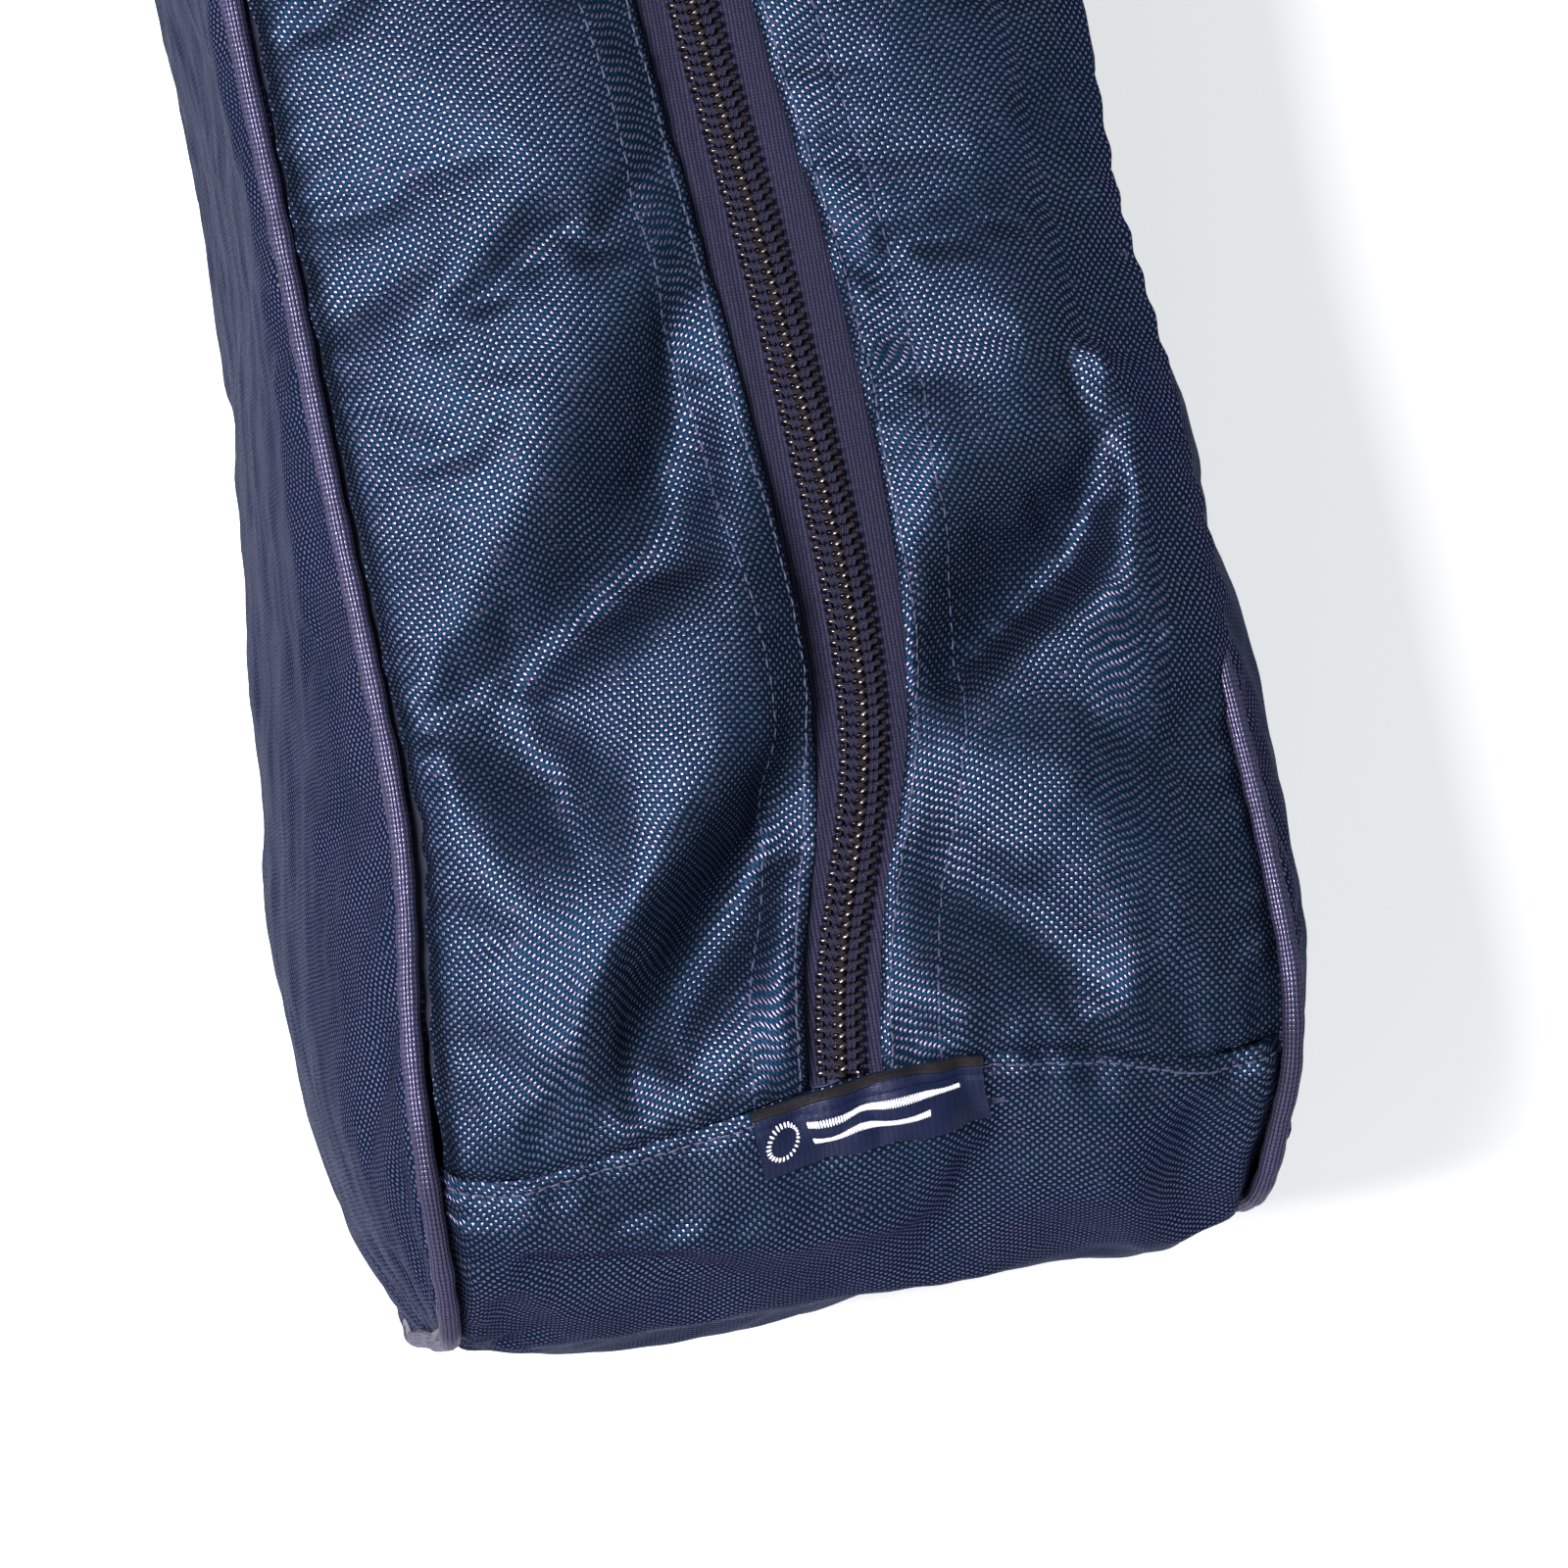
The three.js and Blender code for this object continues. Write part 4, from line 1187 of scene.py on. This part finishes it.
WEBBING_HALF = 12.5
WEBBING_THICK = 1.8
LEG_RADIUS = TOP_CORNER + CROWN + 1 + WEBBING_THICK / 2
LOOP_TIP = SEAM_ANGLE + 0.16


def polar(angle, radius):
    return np.array([0, CORNER_Y + radius * math.sin(angle), CORNER_Z + radius * math.cos(angle)])


def closed_curve(knots, count):
    """A smooth closed curve through knots, at even steps (centripetal Catmull-Rom)."""
    n = len(knots)
    out = []
    for i in range(n):
        near = [knots[(i + k) % n] for k in (-1, 0, 1, 2)]
        times = [0]
        for before, after in zip(near, near[1:]):
            times.append(times[-1] + np.linalg.norm(after - before) ** 0.5)
        for t in np.linspace(times[1], times[2], 24, endpoint=False):
            mixed = near
            for spans in (((0, 1), (1, 2), (2, 3)), ((0, 2), (1, 3)), ((1, 2),)):
                mixed = [
                    (times[b] - t) / (times[b] - times[a]) * mixed[k]
                    + (t - times[a]) / (times[b] - times[a]) * mixed[k + 1]
                    for k, (a, b) in enumerate(spans)
                ]
            out.append(mixed[0])
    out = np.array(out + out[:1])
    way = way_along(out)
    even = np.linspace(0, way[-1], count, endpoint=False)
    return np.stack([np.interp(even, way, out[:, k]) for k in range(3)], axis=1)


def carry_loop():
    """A teardrop: one leg lies on the rear end, the other stands off it, and both meet at the seam."""
    leg_y, low = CORNER_Y + LEG_RADIUS, CORNER_Z - 68
    knots = [polar(a, LEG_RADIUS) for a in np.linspace(LOOP_TIP, math.pi / 2, 6)]
    bend = ((0, 22), (1.5, 7), (9, 0), (17, 6), (23, 26), (23, 50))
    knots += [np.array([0, leg_y + dy, low + dz]) for dy, dz in bend]
    knots += [
        polar(a, LEG_RADIUS + r) for a, r in ((1.25, 17.5), (0.9, 9.5), (0.62, 4.6), (LOOP_TIP - 0.02, 3.4))
    ]
    centre = closed_curve(knots, 260)
    ahead = unit(np.roll(centre, -1, axis=0) - np.roll(centre, 1, axis=0))
    across = sideways(centre)
    profile = rounded_strip(WEBBING_HALF, WEBBING_THICK / 2, 0.7)
    obj = sweep("carry_loop_webbing", centre, across, np.cross(across, ahead), profile, (WEBBING,),
                closed=True, sharp=70)
    fixed(obj, "carry_loop", "webbing", "carry_loop")


def loop_anchor():
    """The webbing's two ends, sewn down one on the other with a row of stitches."""
    low = LEG_RADIUS - WEBBING_THICK / 2 - 0.4
    angles = np.linspace(SEAM_ANGLE + 0.015, LOOP_TIP - 0.075, 8)
    centre = np.array([polar(a, low + WEBBING_THICK) for a in angles])
    ahead = unit(np.gradient(centre, axis=0))
    across = sideways(centre)
    up = np.cross(across, ahead) * -1
    profile = rounded_strip(WEBBING_HALF, WEBBING_THICK, 0.6)
    obj = sweep("carry_loop_anchor_webbing", centre, across, up, profile, (WEBBING,), sharp=70)
    fixed(obj, "root", "webbing", "carry_loop_anchor")
    middle = len(centre) // 2
    lift = up[middle] if up[middle][2] > 0 else -up[middle]
    line = centre[middle] + np.linspace(-11, 11, 12)[:, None] * across[middle] + lift * WEBBING_THICK
    ups = np.repeat(lift[None], len(line), axis=0)
    obj = stitch_line("anchor_stitch", line, ups, 1.6, 0.8, 0.28, THREAD, seed=4)
    fixed(obj, "root", "webbing")


carry_loop()
loop_anchor()


# ---- Label ----

LABEL_X0, LABEL_X1, LABEL_DROP = -16.0, 20.0, 11.0
LABEL_SLANT = 0.05         # the label hangs a little aslant


def on_front(x, down):
    """Points and normals on the front end at x, a distance down from the cross seam (arrays)."""
    grid = ends[-1]
    way = arc(grid, 1).T
    order = np.argsort(grid[:, 0, 0])
    layers = [np.swapaxes(layer, 0, 1) for layer in (grid, grid_normals(grid))]
    out = np.empty(x.shape + (3,))
    facing = np.empty_like(out)
    for j in range(x.shape[1]):
        place, normal = (level(way, layer, down[0, j])[order] for layer in layers)
        for k in range(3):
            out[:, j, k] = np.interp(x[:, j], place[:, 0], place[:, k])
            facing[:, j, k] = np.interp(x[:, j], place[:, 0], normal[:, k])
    return out, unit(facing)


def label_surface(x, down):
    """The label's face: it stands off a little, bends over at its seam and has one soft crease."""
    points, facing = on_front(x, down)
    crease = 2.6
    stand = 1.0 + 0.7 * smooth(0, 4, down) + 0.5 * np.abs(np.tanh((x - crease) / 3.0)) * smooth(0, 8, down)
    stand = stand + 0.35 * np.sin(x / 5.2 + 0.8) * smooth(2, 11, down)
    return points + facing * stand[..., None], facing


def label_point(x, down):
    point, facing = label_surface(np.array([[x]]), np.array([[down]]))
    return point[0, 0], facing[0, 0]


def label_piece(obj, *nodes):
    """Bakes a label piece's placement into its mesh and hides the imported nodes that it replaces."""
    sewn, free = (row([label_point(2.0, down)[0]])[0] for down in (0.8, 6.0))
    # The seam runs a little aslant under the label.
    free = (free[0] + 0.6 * MM, free[1], free[2])
    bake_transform(obj)
    settle(nodes)


def label_sheet(name, left, right, top, bottom, steps, thickness, material, raised=0.0):
    """A sheet of the label from left to right and from top to bottom; raised rounds it up."""
    v = np.linspace(top, bottom, steps)[None, :]
    x = np.linspace(left, right, 73)[:, None] + LABEL_SLANT * v
    points, facing = label_surface(x, v + 0 * x)
    points = points + facing * (raised * np.sqrt(np.clip(1 - ((v - 0.4) / 1.5) ** 2, 0, 1)))[..., None]
    if np.sum(grid_normals(points)[30, steps // 2] * facing[30, steps // 2]) < 0:
        points, x = points[::-1], x[::-1]
    uv = np.stack([x, np.broadcast_to(v, x.shape)], axis=2)
    return shell(name, points, thickness, uv, (material,))


obj = label_sheet("label_cloth", LABEL_X0, LABEL_X1, -0.4, LABEL_DROP, 24, 0.5, SATIN)
label_piece(obj, "woven_label")
obj = label_sheet("label_selvedge_strip", LABEL_X0 - 0.15, LABEL_X1 + 0.15, -0.9, 1.7, 8, 0.4, LABEL_EDGE,
                  raised=0.28)
label_piece(obj)


def motif():
    """A plain woven device: a ring of short threads with two long bars beside it."""
    # Each mark starts at (x, down) and runs by (dx, dd).
    marks = []
    for turn in 2 * math.pi * np.arange(26) / 26:
        c, s = math.cos(turn), math.sin(turn)
        marks.append((-12.0 + 2.1 * c, 6.0 + 2.1 * s, 0.7 * c, 0.7 * s))
    for down, left, right in ((4.1, -7.0, 15.5), (6.9, -7.0, 11.0)):
        marks += [(x, down, 0.1, 0.95) for x in np.arange(left, right, 0.34)]
    start, up = (np.array(part) for part in zip(*(label_point(x, d) for x, d, _, _ in marks)))
    stop = np.array([label_point(x + dx, d + dd)[0] for x, d, dx, dd in marks])
    length = np.linalg.norm(stop - start, axis=1, keepdims=True)
    centres = (start + stop) / 2 + up * 0.12
    return capsules(
        "label_motif", centres, (stop - start) / length, up, length * 1.05, 0.19, THREAD_WHITE, 0.6
    )


label_piece(motif())


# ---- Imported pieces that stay: the bindings and the board inside ----

for name in (
    "seam_binding_left", "seam_binding_right", "cross_seam_binding_front", "cross_seam_binding_rear",
    "base_board",
):
    material = BOARD if name == "base_board" else BINDING
    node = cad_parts[name]
    if not node.data.materials:
        node.data.materials.append(material)
    for slot in node.material_slots:
        slot.link = "OBJECT"
        slot.material = material


# ---- Floor, light and camera ----

FLOOR_HALF = 3.0
FLOOR_GLOW = 0.55          # the paper stays nearly white in the bag's shadow, as in the photo


def floor():
    mesh = bpy.data.meshes.new("floor")
    corners = [(x * FLOOR_HALF, y * FLOOR_HALF, 0) for x, y in ((-1, -1), (1, -1), (1, 1), (-1, 1))]
    mesh.from_pydata(corners, [], [(0, 1, 2, 3)])
    f = Finish("floor_paper", Roughness=0.9, Specular_IOR_Level=0.1, Emission_Color=(1, 1, 1),
               Emission_Strength=FLOOR_GLOW)
    place = f.node("ShaderNodeTexCoord").outputs["Object"]
    f.color(f.mix(f.noise(place, 3, 2), (0.86, 0.86, 0.865), (0.90, 0.90, 0.90)))
    mesh.materials.append(f.material)
    add_object("floor", mesh)


LIGHT_TARGET_Z = 0.12      # all lights face a point at this height over the bag's middle, in metres


def area_light(name, direction, distance, size, power, color):
    data = bpy.data.lights.new(name, "AREA")
    data.shape = "RECTANGLE"
    data.size, data.size_y = size
    data.energy = power
    data.color = color
    obj = add_object(name, data)
    way = Vector(direction).normalized()
    obj.location = Vector((0, MIDDLE_Y, LIGHT_TARGET_Z)) + way * distance
    obj.rotation_euler = (-way).to_track_quat("-Z", "Y").to_euler()


floor()
# The key light comes from the upper left: it brightens folds that face left, as in the photo.
area_light("key", (-0.46, -0.02, 0.88), 1.5, (0.34, 0.6), 58, (1.0, 0.90, 0.98))
area_light("fill", (0.9, 0.3, 1.2), 1.9, (1.6, 1.2), 2, (0.76, 0.95, 1.0))
area_light("front", (0.1, -1.0, 0.55), 2.0, (1.2, 0.8), 5.0, (0.80, 0.94, 1.0))

world = bpy.data.worlds.new("studio")
world.use_nodes = True
background = world.node_tree.nodes["Background"]
background.inputs["Color"].default_value = (0.92, 0.97, 1.0, 1)
# Pale near the horizon, dimmer overhead.
direction = world.node_tree.nodes.new("ShaderNodeTexCoord")
upward = world.node_tree.nodes.new("ShaderNodeSeparateXYZ")
fade = world.node_tree.nodes.new("ShaderNodeMapRange")
for key, number in (("From Min", 0.0), ("From Max", 0.4), ("To Min", 0.8), ("To Max", 0.24)):
    fade.inputs[key].default_value = number
world.node_tree.links.new(direction.outputs["Generated"], upward.inputs[0])
world.node_tree.links.new(upward.outputs["Z"], fade.inputs["Value"])
world.node_tree.links.new(fade.outputs[0], background.inputs["Strength"])
scene.world = world
scene.view_settings.view_transform = "Standard"

CAMERA_DISTANCE = 1.1
VIEW_WIDTH = 0.239
VIEW_MIDDLE = (-2.4, -90.0, 187.0)
CAMERA_LEFT_TILT = math.radians(6.1)
CAMERA_FRONT_TILT = math.radians(3.1)
CAMERA_ROLL = math.radians(10)

camera_data = bpy.data.cameras.new("camera")
camera_data.angle = 2 * math.atan(VIEW_WIDTH / 2 / CAMERA_DISTANCE)
camera = add_object("camera", camera_data)
target = Vector(row([VIEW_MIDDLE])[0])
back = Vector((-math.tan(CAMERA_LEFT_TILT), -math.tan(CAMERA_FRONT_TILT), 1)).normalized()
camera.location = target + back * CAMERA_DISTANCE
# The bag's length leans to the left in the picture: its rear end is up and to the left.
picture_up = Vector((math.sin(CAMERA_ROLL), math.cos(CAMERA_ROLL), 0))
picture_up = (picture_up - back * picture_up.dot(back)).normalized()
picture_right = picture_up.cross(back)
camera.rotation_euler = Matrix((picture_right, picture_up, back)).transposed().to_euler()
scene.camera = camera
